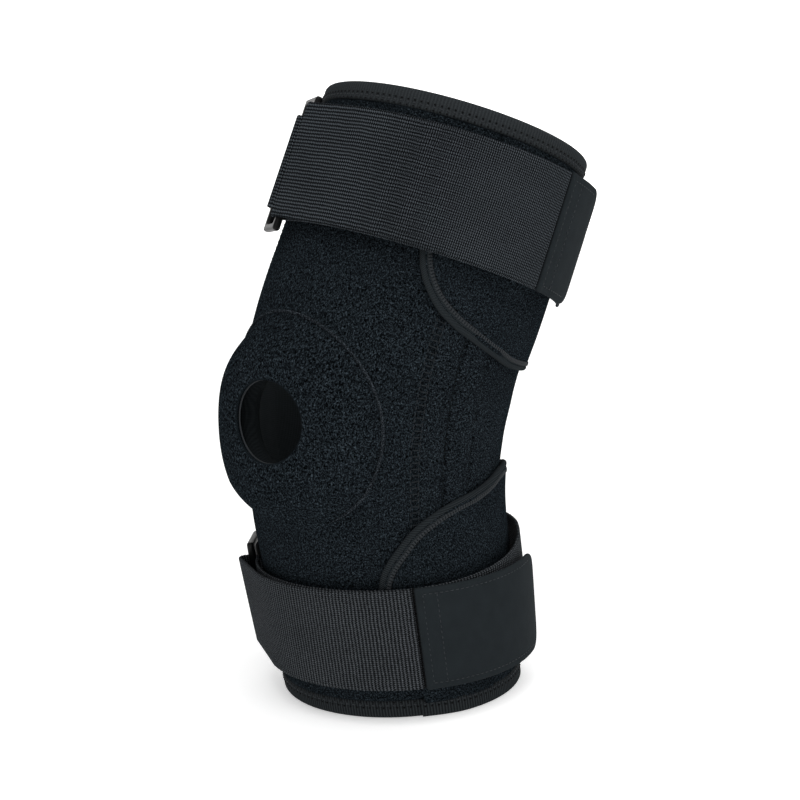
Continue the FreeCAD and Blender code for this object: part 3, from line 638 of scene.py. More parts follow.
def make_front():
    """Front of the sleeve, one piece from rim to rim round the kneecap opening."""
    low, high = RIM_TAPE + 0.4, TOP_RIM - RIM_TAPE - 0.4
    scale = math.radians(1.0) * 62.0
    corners = [
        math.atan2(end - HOLE_ARC, side * FRONT_EDGE * scale)
        for side in (1.0, -1.0) for end in (low, high)
    ]
    turns = np.sort(np.concatenate([np.linspace(-math.pi, math.pi, 340, endpoint=False), corners]))
    cos, sin = np.cos(turns), np.sin(turns)
    to_side = FRONT_EDGE * scale / np.maximum(np.abs(cos), 1e-9)
    to_end = np.where(sin > 0, high - HOLE_ARC, HOLE_ARC - low) / np.maximum(np.abs(sin), 1e-9)
    reach = np.minimum(to_side, to_end)
    hole_degrees, hole_arc = hole_edge(turns)
    border_degrees, border_arc = reach * cos / scale, HOLE_ARC + reach * sin
    rows = 112
    even = np.linspace(0.0, 1.0, rows)
    share = (0.55 * even + 0.45 * (1 - np.cos(math.pi * even)) / 2)[None, :]
    degrees = hole_degrees[:, None] + (border_degrees - hole_degrees)[:, None] * share
    arc = hole_arc[:, None] + (border_arc - hole_arc)[:, None] * share
    from_hole = np.hypot((degrees - hole_degrees[:, None]) * 1.25, (arc - hole_arc[:, None]) * FRONT_STRETCH)
    outer, inner = front_levels(degrees, arc, from_hole)
    uv = np.stack([degrees * scale, arc], -1)
    piece = slab(
        "front_panel", skin(degrees, arc, outer), skin(degrees, arc, inner), uv,
        [FRONT_VELOUR, LINING], around=True,
    )
    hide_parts("calf_front_panel", "knee_front_panel", "thigh_front_panel")
    across_knee(piece)
    turn = np.linspace(0.0, 2 * math.pi, 181)[:-1]
    ring_degrees, ring_arc = hole_edge(turn, -0.1)
    lift = dome(ring_degrees, ring_arc) - 2.9
    middle, normal = on_skin(ring_degrees, ring_arc, lift)
    normal /= np.linalg.norm(normal, axis=1, keepdims=True)
    ahead = np.roll(middle, -1, 0) - np.roll(middle, 1, 0)
    side = np.cross(ahead / np.linalg.norm(ahead, axis=1, keepdims=True), normal)
    angle = np.arange(8) * math.pi / 4
    loops = middle[:, None] + 0.42 * (
        side[:, None] * np.cos(angle)[None, :, None] + normal[:, None] * np.sin(angle)[None, :, None]
    )
    edge = swept(
        "kneecap_lining_edge", loops, np.arange(181) * 0.7, np.arange(9) * 0.35, [THREAD], closed=True,
    )
    across_knee(edge)


def make_dome_welt():
    """Raised line where the moulded kneecap meets the flat of the front panel. Its lighter velour is a
    painted highlight along the ridge.
    """
    turn = np.linspace(math.radians(-60.0), math.radians(160.0), 400)
    degrees = DOME_ANGLE + DOME_HALF_ANGLE * np.cos(turn)
    arc = DOME_ARC + DOME_HALF_ARC * np.sin(turn)
    middle, normal = on_skin(degrees, arc, dome(degrees, arc) + 1.15)
    normal /= np.linalg.norm(normal, axis=1, keepdims=True)
    ahead = np.gradient(middle, axis=0)
    ahead /= np.linalg.norm(ahead, axis=1, keepdims=True)
    side = np.cross(ahead, normal)
    angle = np.arange(10) * math.pi / 5
    along = running_length(middle)
    fade = np.minimum(smoothstep(along, 0.0, 14.0), 1.0 - smoothstep(along, along[-1] - 14.0, along[-1]))
    thick = (0.15 + 0.85 * fade)[:, None, None]
    loops = middle[:, None] + thick * (
        0.75 * side[:, None] * np.cos(angle)[None, :, None]
        + 0.6 * normal[:, None] * np.sin(angle)[None, :, None]
    )
    welt = swept("kneecap_welt", loops, along, np.arange(11) * 0.45, [WELT_PAINTED_HIGHLIGHT_VELOUR])
    across_knee(welt)


def channel_lift(degrees, arc):
    """Rise of the side panel over the two stays and their sewn channels."""
    size = np.abs(np.asarray(degrees, float))

    def pad(first, last, height):
        middle, half = (first + last) / 2, (last - first) / 2
        across = np.clip(1.0 - ((size - middle) / half) ** 2, 0.0, 1.0)
        return height * np.sqrt(across) * smoothstep(across, 0.0, 0.25)

    along = smoothstep(arc, 30.0, 52.0) * (1.0 - smoothstep(arc, 236.0, 252.0))
    under_wings = 1.0 - 0.75 * smoothstep(arc, 185.0, 200.0) - 0.75 * (1.0 - smoothstep(arc, 82.0, 96.0))
    bulge = pad(58.4, 69.3, 0.8) + pad(69.9, 83.6, 1.5)
    grooves = edge_dip(size - 69.6, 0.75, 0.75) + edge_dip(size - 84.0, 0.8, 0.85)
    grooves = grooves + edge_dip(size - 57.9, 0.3, 0.6)
    return (bulge + grooves) * along * np.clip(under_wings, 0.0, 1.0)


def make_side(side_name, sign):
    """One side panel, with its sewn stay channels."""
    fine = np.concatenate([np.linspace(SIDE_EDGE, 90.0, 96), np.linspace(90.0, SLEEVE_REAR, 40)[1:]])
    arcs = np.linspace(RIM_TAPE + 0.4, TOP_RIM - RIM_TAPE - 0.4, 150)
    degrees, arc = np.meshgrid(sign * fine, arcs, indexing="ij")
    size = np.abs(degrees)
    seam = edge_dip((size - SIDE_EDGE) * 1.1, 0.75, 1.3)
    wave = 0.3 * np.sin(size * 0.09 + arc * 0.05) * smoothstep(size, 86.0, 100.0)
    outer = seam + channel_lift(degrees, arc) + wave
    uv = np.stack([degrees * math.radians(1.0) * 62.0, arc], -1)
    piece = slab(
        side_name + "_panel", skin(degrees, arc, outer), skin(degrees, arc, -SIDE_THICK), uv,
        [SIDE_VELOUR, LINING],
    )
    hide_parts(*["%s_%s_panel" % (part, side_name) for part in ("calf", "knee", "thigh")])
    across_knee(piece)


def make_side_seams(side_name, sign):
    """Ladder seam to the front panel and the stitch rows of the stay channels."""
    arc = np.linspace(12.0, 264.0, 400)
    parts = []
    for place in (FRONT_EDGE - 1.7, SIDE_EDGE + 1.5):
        lift = dome(sign * place, arc) * (place < 56.0) - 0.05
        parts.append(stitch_row(
            "seam", np.full_like(arc, sign * place), arc, lift + 0.1, 2.9, 2.0, 0.3, GREY_THREAD,
        ))
    middle = (FRONT_EDGE + SIDE_EDGE) / 2
    lift = np.full_like(arc, -0.28)
    parts.append(stitch_row(
        "seam", np.full_like(arc, sign * middle), arc, lift + 0.12, 2.9, 3.4, 0.26, GREY_THREAD,
        math.pi / 2, 0.15,
    ))
    for place in (69.6, 84.0):
        arc_row = np.linspace(36.0, 244.0, 360)
        lift = channel_lift(np.full_like(arc_row, sign * place), arc_row) + 0.02
        parts.append(stitch_row(
            "seam", np.full_like(arc_row, sign * place), arc_row, lift, 2.9, 1.9, 0.26, DARK_THREAD_AND_GAP_SHADOW,
        ))
    piece = joined(side_name + "_seam_thread", parts)
    across_knee(piece)


def make_buttress():
    """Soft ring under the moulded kneecap."""
    turn = np.linspace(0.0, 2 * math.pi, 120, endpoint=False)
    share = np.linspace(0.0, 1.0, 14)
    near, far = hole_edge(turn, 4.3), hole_edge(turn, 14.3)
    degrees = near[0][:, None] + (far[0] - near[0])[:, None] * share[None, :]
    arc = near[1][:, None] + (far[1] - near[1])[:, None] * share[None, :]
    low = np.full_like(degrees, -SLEEVE_THICK + 0.3)
    crown = np.sqrt(np.clip(1.0 - (2.0 * share - 1.0) ** 2, 0.03, 1.0))[None, :]
    high = low + 0.6 + np.maximum(dome(degrees, arc) - 2.4, 0.3) * crown * 0.85
    uv = np.stack([degrees * 1.1, arc], -1)
    piece = slab(
        "patella_buttress_ring", skin(degrees, arc, high), skin(degrees, arc, low), uv,
        [RING_COVER], around=True,
    )
    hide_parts("patella_buttress")
    across_knee(piece)


def make_stay(node, sign, centre):
    """Flat spiral stay: a flattened helix of spring wire."""
    turns, per_turn = 88, 12
    count = turns * per_turn
    phase = np.linspace(0.0, 2 * math.pi * turns, count)
    arc = np.linspace(41.5, 238.5, count)
    width = 3.2 / (math.radians(1.0) * 62.0)
    degrees = sign * centre + width * np.cos(phase)
    lift = -3.1 + 0.28 * np.sin(phase)
    path, normal = on_skin(degrees, arc, lift)
    tangent = np.gradient(path, axis=0)
    tangent /= np.linalg.norm(tangent, axis=1, keepdims=True)
    side = np.cross(tangent, normal)
    side /= np.linalg.norm(side, axis=1, keepdims=True)
    upright = np.cross(side, tangent)
    angle = np.arange(5) * 2 * math.pi / 5
    loops = path[:, None] + 0.24 * (
        side[:, None] * np.cos(angle)[None, :, None] + upright[:, None] * np.sin(angle)[None, :, None]
    )
    piece = swept(node + "_spiral", loops, running_length(path), np.arange(6) * 0.3, [STAY_STEEL])
    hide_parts(node)
    across_knee(piece)


def make_stay_pocket(side_name, sign):
    """Inner tape that holds the two stays of a side."""
    degrees, arc = np.meshgrid(
        sign * np.linspace(SIDE_EDGE + 0.4, 84.6, 30), np.linspace(36.5, 243.5, 110), indexing="ij"
    )
    size = np.abs(degrees)
    swell = -0.25 * np.exp(-((size - 62.8) / 3.6) ** 2) - 0.25 * np.exp(-((size - 77.0) / 3.6) ** 2)
    uv = np.stack([degrees * 1.08, arc], -1)
    piece = slab(
        "stay_pocket_tape_" + side_name, skin(degrees, arc, -4.0 + swell), skin(degrees, arc, -4.7 + swell),
        uv, [LINING],
    )
    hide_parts("stay_pocket_" + side_name)
    across_knee(piece)


# ---------------------------------------------------------------- rim tapes
def folded_loop(out_lift, in_lift, low_arc, high_arc, fold_at_top):
    """(arc, lift) loop of a tape folded over a rim, u from the outer sewn edge."""
    thick = out_lift - in_lift
    bend = thick / 2
    fold = high_arc - bend if fold_at_top else low_arc + bend
    sewn = low_arc if fold_at_top else high_arc
    sign = 1.0 if fold_at_top else -1.0
    loop = []
    for share in np.linspace(0.0, 1.0, 9):
        arc = sewn + (fold - sewn) * share
        pinch = -0.45 * math.exp(-(((arc - sewn) * sign - 2.3) / 0.7) ** 2)
        edge = -0.35 * math.exp(-((arc - sewn) / 0.5) ** 2)
        loop.append((arc, out_lift + pinch + edge))
    for k in range(1, 10):
        turn = math.pi / 2 - math.pi * k / 10
        loop.append((fold + sign * bend * math.cos(turn), in_lift + bend + bend * math.sin(turn)))
    for share in np.linspace(0.0, 1.0, 7):
        loop.append((fold + (sewn - fold) * share, in_lift))
    return np.array(loop)


def rim_tape(name, node, body, angles, loop, base_lift, material, fold_at_top):
    """Tape swept along a rim, with its row of stitches."""
    degrees = np.repeat(angles[:, None], len(loop), 1)
    arc = np.repeat(loop[None, :, 0], len(angles), 0)
    lift = loop[None, :, 1] + base_lift(degrees, arc)
    around = running_length(np.concatenate([loop, loop[:1]]))
    loops = skin(degrees, arc, lift)
    piece = swept(name, loops, angles * math.radians(1.0) * 62.0, around, [material])
    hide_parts(node)
    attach(piece, body)
    sign = 1.0 if fold_at_top else -1.0
    row = np.full_like(angles, loop[0, 0] + sign * 2.3)
    row_lift = loop[0, 1] + 0.02 + base_lift(angles, row)
    rows = [stitch_row("row", angles, row, row_lift + 0.1, 3.2, 2.0, 0.4, THREAD)]
    for aside, above, radius in ((1.3, 0.2, 0.6), (-1.4, 0.06, 0.55)):
        rows.append(stitch_row(
            "row", angles, row + sign * aside, row_lift + above, 3.2, 1.1, radius, DARK_THREAD_AND_GAP_SHADOW, math.pi / 2,
        ))
    stitches = joined(name + "_stitches", rows)
    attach(stitches, body)
    return piece


def flat_lift(degrees, arc):
    return np.zeros_like(np.asarray(arc, float))


def make_rim_tapes():
    thick = SLEEVE_THICK + 0.4
    angles = np.linspace(-SLEEVE_REAR, SLEEVE_REAR, 240)
    bottom = folded_loop(0.1, -thick, 0.0, RIM_TAPE, False)
    rim_tape(
        "bottom_rim_binding", "bottom_rim_tape", "calf_section", angles, bottom, flat_lift,
        BOTTOM_TAPE_KNIT, False,
    )
    top = folded_loop(0.6, -thick, TOP_RIM - RIM_TAPE, TOP_RIM, True)
    rim_tape("top_rim_binding", "top_rim_tape", "thigh_section", angles, top, flat_lift, RIM_TAPE_KNIT, True)
    angles = np.linspace(48.4, WING_END, 160)
    wing = folded_loop(2.8, 0.5, 0.0, RIM_TAPE, False)

    def pressed(degrees, arc):
        thin_end = 1.7 * (1.0 - smoothstep(degrees, 48.0, 72.0))
        return wing_lift(degrees, arc) - thin_end

    rim_tape(
        "lower_wing_rim_binding", "lower_wing_rim_tape", "calf_section", angles, wing, pressed,
        BOTTOM_TAPE_KNIT, False,
    )


# ---------------------------------------------------------------- rear wings
def smooth_path(points, count):
    """Evenly spaced points on a smooth open path through the given ones."""
    points = np.asarray(points, float)
    scale = np.array([math.radians(1.0) * 62.0, 1.0])
    length = running_length(points * scale)
    extended = np.concatenate([[2 * points[0] - points[1]], points, [2 * points[-1] - points[-2]]])
    fine = []
    for k in range(len(points) - 1):
        p0, p1, p2, p3 = extended[k:k + 4]
        u = np.linspace(0.0, 1.0, 24, endpoint=False)[:, None]
        fine.append(0.5 * (
            2 * p1 + (p2 - p0) * u + (2 * p0 - 5 * p1 + 4 * p2 - p3) * u ** 2
            + (3 * p1 - p0 - 3 * p2 + p3) * u ** 3
        ))
    fine = np.concatenate(fine + [points[-1:]])
    length = running_length(fine * scale)
    at = np.linspace(0.0, length[-1], count)
    return np.stack([np.interp(at, length, fine[:, k]) for k in range(2)], -1)


def wing_cloth(name, node, body, lower, upper, crease):
    """Cloth of a wing between its lower and upper edge, both from the sewn end forward."""
    columns = np.linspace(0.0, 1.0, 56)
    degrees = lower[:, None, 0] + (upper - lower)[:, None, 0] * columns[None, :]
    arc = lower[:, None, 1] + (upper - lower)[:, None, 1] * columns[None, :]
    base = wing_lift(degrees, arc)
    puff = 0.35 * np.sin(math.pi * columns)[None, :]
    wrinkle = 0.35 * np.sin(degrees * 0.16 + arc * 0.07) * smoothstep(degrees, 95.0, 125.0)
    outer = 2.6 + base + puff + wrinkle + crease(degrees, arc)
    uv = np.stack([degrees * math.radians(1.0) * 64.0, arc], -1)
    piece = slab(name, skin(degrees, arc, outer), skin(degrees, arc, 0.6 + base), uv, [WING_VELOUR, LINING])
    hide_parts(node)
    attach(piece, body)
    return piece


def wing_tape(name, node, body, path, side, material):
    """Folded tape round a wing's edge, with its inner band of overlock stitches."""
    scale = math.radians(1.0) * leg_radius(path[:, 1])
    run = np.gradient(path[:, 0]) * scale
    rise = np.gradient(path[:, 1])
    length = np.hypot(run, rise)
    inward_u, inward_v = -side * rise / length, side * run / length
    profile = [(0.55, 0.55), (0.1, 1.1), (-0.05, 1.8), (0.25, 2.4), (0.8, 2.85), (1.6, 3.0), (2.3, 2.9),
               (2.65, 2.45), (3.1, 2.8), (4.2, 3.1), (5.0, 2.9),
               (5.35, 2.45), (5.3, 1.6), (4.9, 0.6), (2.7, 0.5)]
    profile = np.array(profile)
    degrees = path[:, None, 0] + (inward_u / scale)[:, None] * profile[None, :, 0]
    arc = path[:, None, 1] + inward_v[:, None] * profile[None, :, 0]
    lift = wing_lift(degrees, arc) + profile[None, :, 1]
    loops = skin(degrees, arc, lift)
    along = running_length(loops[:, 5])
    around = running_length(np.concatenate([profile, profile[:1]]))
    piece = swept(name, loops, along, around, [material])
    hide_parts(node)
    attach(piece, body)
    parts = []
    band_degrees = path[:, 0] + inward_u / scale * 4.35
    band_arc = path[:, 1] + inward_v * 4.35
    band_lift = wing_lift(band_degrees, band_arc) + 3.15
    for slant, shift in ((side * 1.05, 0.0), (-side * 1.25, 0.02)):
        parts.append(stitch_row(
            name, band_degrees, band_arc, band_lift + shift, 1.5, 2.3, 0.27, THREAD, slant,
        ))
    fringe_degrees = path[:, 0] + inward_u / scale * 5.35
    fringe_arc = path[:, 1] + inward_v * 5.35
    fringe_lift = wing_lift(fringe_degrees, fringe_arc) + 2.75
    parts.append(stitch_row(name, fringe_degrees, fringe_arc, fringe_lift, 2.7, 1.9, 0.2, DARK_THREAD_AND_GAP_SHADOW))
    stitches = joined(name + "_overlock", parts)
    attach(stitches, body)
    return piece


def inset_path(path, side, width):
    """The path moved towards the cloth."""
    scale = math.radians(1.0) * leg_radius(path[:, 1])
    run = np.gradient(path[:, 0]) * scale
    rise = np.gradient(path[:, 1])
    length = np.hypot(run, rise)
    moved = path.copy()
    moved[:, 0] += -side * rise / length * width / scale
    moved[:, 1] += side * run / length * width
    return moved


def make_upper_wing():
    path = smooth_path(UPPER_WING_LOWER + UPPER_WING_FRONT + UPPER_WING_UPPER, 421)
    wing_tape("upper_wing_binding", "upper_wing_edge_tape", "thigh_section", path, -1.0, WING_TAPE_TWILL)
    cloth = inset_path(path, -1.0, 2.0)
    half = len(cloth) // 2
    lower, upper = cloth[:half], cloth[::-1][:half]

    def crease(degrees, arc):
        over_stay = 0.5 * smoothstep(degrees, 68.0, 74.0) * (1.0 - smoothstep(degrees, 86.0, 90.5))
        return over_stay + edge_dip(degrees - 91.5, 0.35, 1.1)

    wing_cloth(
        "upper_wing_cloth", "upper_wing", "thigh_section", lower, upper,
        crease,
    )


def make_lower_wing():
    tape_path = smooth_path(LOWER_WING_UPPER + LOWER_WING_FRONT, 361)
    under_strap = tape_path[tape_path[:, 1] > 20.0]
    wing_tape(
        "lower_wing_binding", "lower_wing_edge_tape", "calf_section", under_strap, 1.0, LOWER_TAPE_TWILL,
    )
    upper = inset_path(tape_path, 1.0, 2.0)
    degrees = np.maximum(upper[:, 0], 50.0)
    arc = np.minimum(np.full(len(upper), RIM_TAPE - 1.0), upper[:, 1] - 0.5)
    lower = np.stack([degrees, arc], -1)
    lower[:, 0] = np.where(upper[:, 0] < 50.5, np.maximum(50.5, lower[:, 0]), lower[:, 0])

    def crease(degrees, arc):
        return 0.3 * smoothstep(degrees, 66.0, 72.0) * (1.0 - smoothstep(degrees, 84.0, 89.0))

    wing_cloth(
        "lower_wing_cloth", "lower_wing", "calf_section", lower, upper,
        crease,
    )


def make_wing_seams():
    """Rows that sew the wings to the rear edge of the inner side panel."""
    for name, body, low, high in (
        ("upper_wing_sewn_seam", "thigh_section", 186.0, 254.0),
        ("lower_wing_sewn_seam", "calf_section", 12.0, 95.0),
    ):
        arc = np.linspace(low, high, 80)
        parts = []
        for place in (WING_END - 2.2, WING_END - 5.0):
            lift = wing_lift(np.full_like(arc, place), arc) + 2.6
            parts.append(stitch_row(name, np.full_like(arc, place), arc, lift, 3.0, 2.0, 0.26, DARK_THREAD_AND_GAP_SHADOW))
        piece = joined(name, parts)
        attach(piece, body)


# ---------------------------------------------------------------- cinch straps
WEB_THICK, WEB_GAP, FOLD_RADIUS, BAR_PITCH = 1.6, 0.4, 2.7, 14.0
STRAPS = {
    "thigh": dict(
        low=207.0, width=55.0, seam=87.0, fold=-28.0, lift=4.6, shift=2.0, tab_end=115.0,
        sewn_end=125.0, anchor_width=45.0, body="thigh_section", webbing=THIGH_WEBBING,
        flare=0.0, rear_rise=0.0, tab_flare=0.0, notch=0.0, corner=8.0,
    ),
    "calf": dict(
        low=17.5, width=48.5, seam=47.6, fold=-54.0, lift=3.9, shift=3.2, tab_end=122.0,
        sewn_end=156.0, anchor_width=40.0, body="calf_section", webbing=CALF_WEBBING,
        flare=2.6, rear_rise=9.0, tab_flare=2.2, notch=4.6, corner=12.0,
    ),
}


class Strap:
    """Section plane of a strap: its route is worked out there and swept up the leg."""

    def __init__(self, name):
        self.name = name
        self.__dict__.update(STRAPS[name])
        top = self.low + self.width
        centre, tilt = leg_line(np.array(self.low))
        self.origin, self.tilt = centre, tilt
        self.sweep = (leg_line(np.array(top))[0] - centre) / self.width
        sleeve = max(float(leg_radius(self.low)), float(leg_radius(top)))
        self.sleeve = sleeve
        self.under = sleeve + self.lift + WEB_THICK / 2
        self.over = self.under + WEB_THICK + WEB_GAP
        self.centre = outward(self.fold + 180.0) * self.shift
        self.reach = self.under + WEB_THICK / 2 + FOLD_RADIUS

    def at(self, flat):
        """Points of the lower section plane, given flat."""
        return self.origin + turned(np.asarray(flat, float), np.broadcast_to(self.tilt, np.shape(flat)[:-1]))

    def turn(self, vectors):
        return turned(vectors, np.broadcast_to(self.tilt, np.shape(vectors)[:-1]))

    def arc(self, centre, radius, first, last, step=1.2):
        count = max(int(abs(math.radians(last - first)) * radius / step), 6)
        return centre + outward(np.linspace(first, last, count)) * radius


def route_normals(path):
    """Outward side of a flat route that runs towards smaller angles on its inner layer."""
    tangent = np.gradient(path, axis=0)
    tangent /= np.linalg.norm(tangent, axis=1, keepdims=True)
    return np.stack([tangent[:, 1], -tangent[:, 0], np.zeros(len(path))], -1)


def ribbon_section(width, thick, columns):
    """(height, offset) loop of a flat band with rounded, slightly beaded edges."""
    half = thick / 2
    up = np.linspace(half, width - half, columns)
    edge = np.linspace(0.4, math.pi - 0.4, 5)
    loop = [(w, half) for w in up]
    loop += [(width - half + half * math.sin(a), half * math.cos(a)) for a in edge]
    loop += [(w, -half) for w in up[::-1]]
    loop += [(half - half * math.sin(a), -half * math.cos(a)) for a in edge]
    return np.array(loop)


def ribbon(name, strap, path, width, start, thick, material, lean=None, rise=None, gather=None, scallop=0.0):
    """Band of webbing along a flat route. Per route point, lean moves its upper edge
    outward, rise moves the whole band up and gather lifts its lower edge."""
    normal = route_normals(path)
    section = ribbon_section(width, thick, 26)
    length = running_length(path)
    lean = np.zeros(len(path)) if lean is None else lean
    rise = np.zeros(len(path)) if rise is None else rise
    gather = np.zeros(len(path)) if gather is None else gather
    radial = path / np.linalg.norm(path, axis=1, keepdims=True)
    loops = np.empty((len(path), len(section), 3))
    for k, (height, offset) in enumerate(section):
        edge = 1.0 if height > width - 0.9 else (-1.0 if height < 0.9 else 0.0)
        bead = edge * scallop * (0.5 + 0.5 * np.cos(2 * math.pi * length / 1.9))
        flat = path + normal * offset + radial * (lean * (height / width))[:, None]
        lifted = gather * (1.0 - height / width) ** 2
        loops[:, k] = strap.at(flat) + strap.sweep * (start + height + bead + rise + lifted)[:, None]
    around = running_length(np.concatenate([section, section[:1]]))
    return swept(name, loops, length, around, [material])


def make_strap(name):
    """Elastic webbing: sewn at the outer back, folded round the ring, back to the seam."""
    strap = Strap(name)
    fold_bar = strap.centre + outward(strap.fold) * strap.reach
    leave = math.degrees(math.acos((strap.over - WEB_THICK / 2 - FOLD_RADIUS) / strap.reach))
    under = strap.arc(strap.centre, strap.under, strap.sewn_end, strap.fold + 0.6)
    bend = strap.arc(fold_bar, FOLD_RADIUS + WEB_THICK / 2, strap.fold - 180.0 - 8.0, strap.fold + leave, 0.5)
    over = strap.arc(strap.centre, strap.over, strap.fold + leave + 0.6, strap.seam - 0.95)
    path = np.concatenate([under, bend, over])
    angle = np.degrees(np.arctan2(path[:, 0], -path[:, 1]))
    is_over = np.arange(len(path)) >= len(under) + len(bend) // 2
    near_fold = 1.0 - smoothstep(angle, strap.fold + 6.0, strap.fold + 75.0)
    lean = np.where(is_over, strap.flare * near_fold, strap.flare * 0.4 * near_fold)
    climb = np.clip((np.mod(angle + 90.0, 360.0) - 90.0 - 45.0) / 80.0, 0.0, 1.1) ** 2
    rise = np.where(is_over, 0.0, strap.rear_rise * climb)
    at_ring = np.linalg.norm(path - fold_bar, axis=1)
    gather = strap.notch * (1.0 - smoothstep(at_ring, 5.4, 12.0))
    piece = ribbon(
        name + "_cinch_strap", strap, path, strap.width, 0.0, WEB_THICK, strap.webbing,
        lean, rise, gather, 0.28,
    )
    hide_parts(name + "_strap")
    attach(piece, strap.body)


def tab_height_range(at, length, width, corner):
    """Lowest and highest place of the tab at a distance from its seam."""
    over = np.clip(at - (length - corner), 0.0, corner)
    cut = corner - np.sqrt(np.maximum(corner ** 2 - over ** 2, 0.0))
    return cut, width - cut


def make_tab(name):
    """Hook tab: folded edge at the seam, rounded far corners, rows of stitches, and dark thread blobs down
    the gap at the seam as a painted shadow of that gap.
    """
    strap = Strap(name)
    body = name + "_tab"
    path = strap.arc(strap.centre, strap.over, strap.seam + 0.5, strap.tab_end, 0.9)
    length = running_length(path)
    corner = strap.corner
    end = length[-1]
    extra = end - np.array([6.6, 5.2, 3.8, 2.4, 1.3, 0.6, 0.2, 0.02])
    at = np.sort(np.concatenate([length[:-1][length[:-1] < end - 7.0], extra]))
    flat = np.stack([np.interp(at, length, path[:, k]) for k in range(3)], -1)
    normal = flat - strap.centre
    normal /= np.linalg.norm(normal, axis=1, keepdims=True)
    low, high = tab_height_range(at, end, strap.width, corner)
    across = np.concatenate([
        [0.0, 0.006, 0.015, 0.03], np.linspace(0.05, 0.95, 34), [0.97, 0.985, 0.994, 1.0],
    ])
    height = low[:, None] + (high - low)[:, None] * across[None, :]
    distance = at[:, None]
    dents = 0.22 * np.exp(-((distance - 3.0) / 0.6) ** 2) + 0.22 * np.exp(-((distance - 9.6) / 0.6) ** 2)
    border = np.minimum(np.minimum(height - low[:, None], high[:, None] - height), end - distance)
    dents = dents + 0.22 * np.exp(-((border - 2.5) / 0.6) ** 2) * (distance > 3.0)
    hem = 0.55 * smoothstep(distance, -0.3, 0.5) * (1.0 - smoothstep(distance, 2.0, 3.4))
    ends = smoothstep(at, end - 16.0, end) * 0.5
    leaning = strap.tab_flare * smoothstep(at, 0.0, end)[:, None]
    outer_offset = WEB_THICK / 2 + hem - dents + ends[:, None]
    inner_offset = np.broadcast_to((-WEB_THICK / 2 + ends)[:, None], outer_offset.shape)

    def placed(offset):
        offset = offset + leaning * height / strap.width
        spot = flat[:, None] + normal[:, None] * offset[..., None]
        return strap.at(spot) + strap.sweep * height[..., None]

    uv = np.stack([np.broadcast_to(distance, height.shape), height], -1)
    piece = slab(name + "_hook_tab_cloth", placed(outer_offset), placed(inner_offset), uv, [TAB_FABRIC])
    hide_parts(name + "_hook_tab")
    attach(piece, body)

    def stitches(places, heights):
        spots = np.stack([np.interp(places, at, flat[:, k]) for k in range(3)], -1)
        out = spots - strap.centre
        out /= np.linalg.norm(out, axis=1, keepdims=True)
        proud = WEB_THICK / 2 - 0.04 + np.interp(places, at, ends)
        proud = proud + np.interp(places, at, leaning[:, 0]) * heights / strap.width
        points = strap.at(spots + out * proud[:, None]) + strap.sweep * heights[:, None]
        return points, strap.turn(out)

    rows = []
    inset = 2.5
    for place in (3.0, 9.6):
        heights = np.arange(inset + 1.0, strap.width - inset, 2.6)
        points, normals = stitches(np.full(len(heights), place), heights)
        tangents = np.broadcast_to(strap.sweep, points.shape)
        rows.append(threads("tab", points, tangents, normals, 1.7, 0.24, THREAD))
    for height_at in (inset, strap.width - inset):
        places = np.arange(4.0, end - corner, 2.6)
        heights = np.full(len(places), height_at)
        points, normals = stitches(places, heights)
        ahead, _ = stitches(places + 0.4, heights)
        rows.append(threads("tab", points, ahead - points, normals, 1.7, 0.24, THREAD))
    # Dark thread blobs down the gap between the strap's end and the tab: a painted shadow of the gap.
    gap_shadow_line = strap.centre + outward(strap.seam - 0.25) * (strap.over - 0.45)
    heights = np.arange(1.2, strap.width - 0.6, 1.6)
    points = strap.at(np.repeat(gap_shadow_line[None, :], len(heights), 0)) + strap.sweep * heights[:, None]
    rows.append(threads(
        "tab", points, np.broadcast_to(strap.sweep, points.shape),
        strap.turn(np.repeat(outward(strap.seam)[None, :], len(heights), 0)), 2.2, 0.75, DARK_THREAD_AND_GAP_SHADOW,
    ))
    thread = joined(name + "_tab_stitches_and_gap_shadow", rows)
    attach(thread, body)


def make_anchor(name):
    """Short webbing loop that holds the ring, sewn to the inner side of the sleeve."""
    strap = Strap(name)
    thick, bend, start = 1.3, 2.5, -115.0
    pitch_angle = 2.0 * math.degrees(math.asin(BAR_PITCH / 2.0 / strap.reach))
    bar = strap.centre + outward(strap.fold - pitch_angle) * strap.reach
    angle = math.degrees(math.atan2(bar[0], -bar[1]))
    distance = float(np.linalg.norm(bar))
    low = strap.sleeve + 0.5 + thick / 2
    high = low + thick + 0.3
    under = math.degrees(math.acos(min((low + thick / 2 + bend) / distance, 1.0)))
    over = math.degrees(math.acos(min((high - thick / 2 - bend) / distance, 1.0)))
    origin = np.zeros(3)
    path = np.concatenate([
        strap.arc(origin, low, start, angle - under - 1.0),
        strap.arc(bar, bend + thick / 2, angle - under + 180.0, angle - over, 0.5),
        strap.arc(origin, high, angle - over - 1.0, start),
    ])
    width = strap.anchor_width
    piece = ribbon(
        name + "_anchor_loop", strap, path[::-1], width, (strap.width - width) / 2, thick, strap.webbing,
        scallop=0.25,
    )
    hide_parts(name + "_ring_anchor")
    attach(piece, strap.body)
    rows = []
    for place in (start + 4.0, start + 9.0):
        heights = (strap.width - width) / 2 + np.arange(3.0, width - 2.0, 2.8)
        spots = np.repeat(outward(place)[None, :] * (high + thick / 2 - 0.04), len(heights), 0)
        points = strap.at(spots) + strap.sweep * heights[:, None]
        normals = strap.turn(spots)
        tangents = np.broadcast_to(strap.sweep, points.shape)
        rows.append(threads("row", points, tangents, normals, 1.9, 0.26, DARK_THREAD_AND_GAP_SHADOW))
    stitches = joined(name + "_anchor_stitches", rows)
    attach(stitches, strap.body)


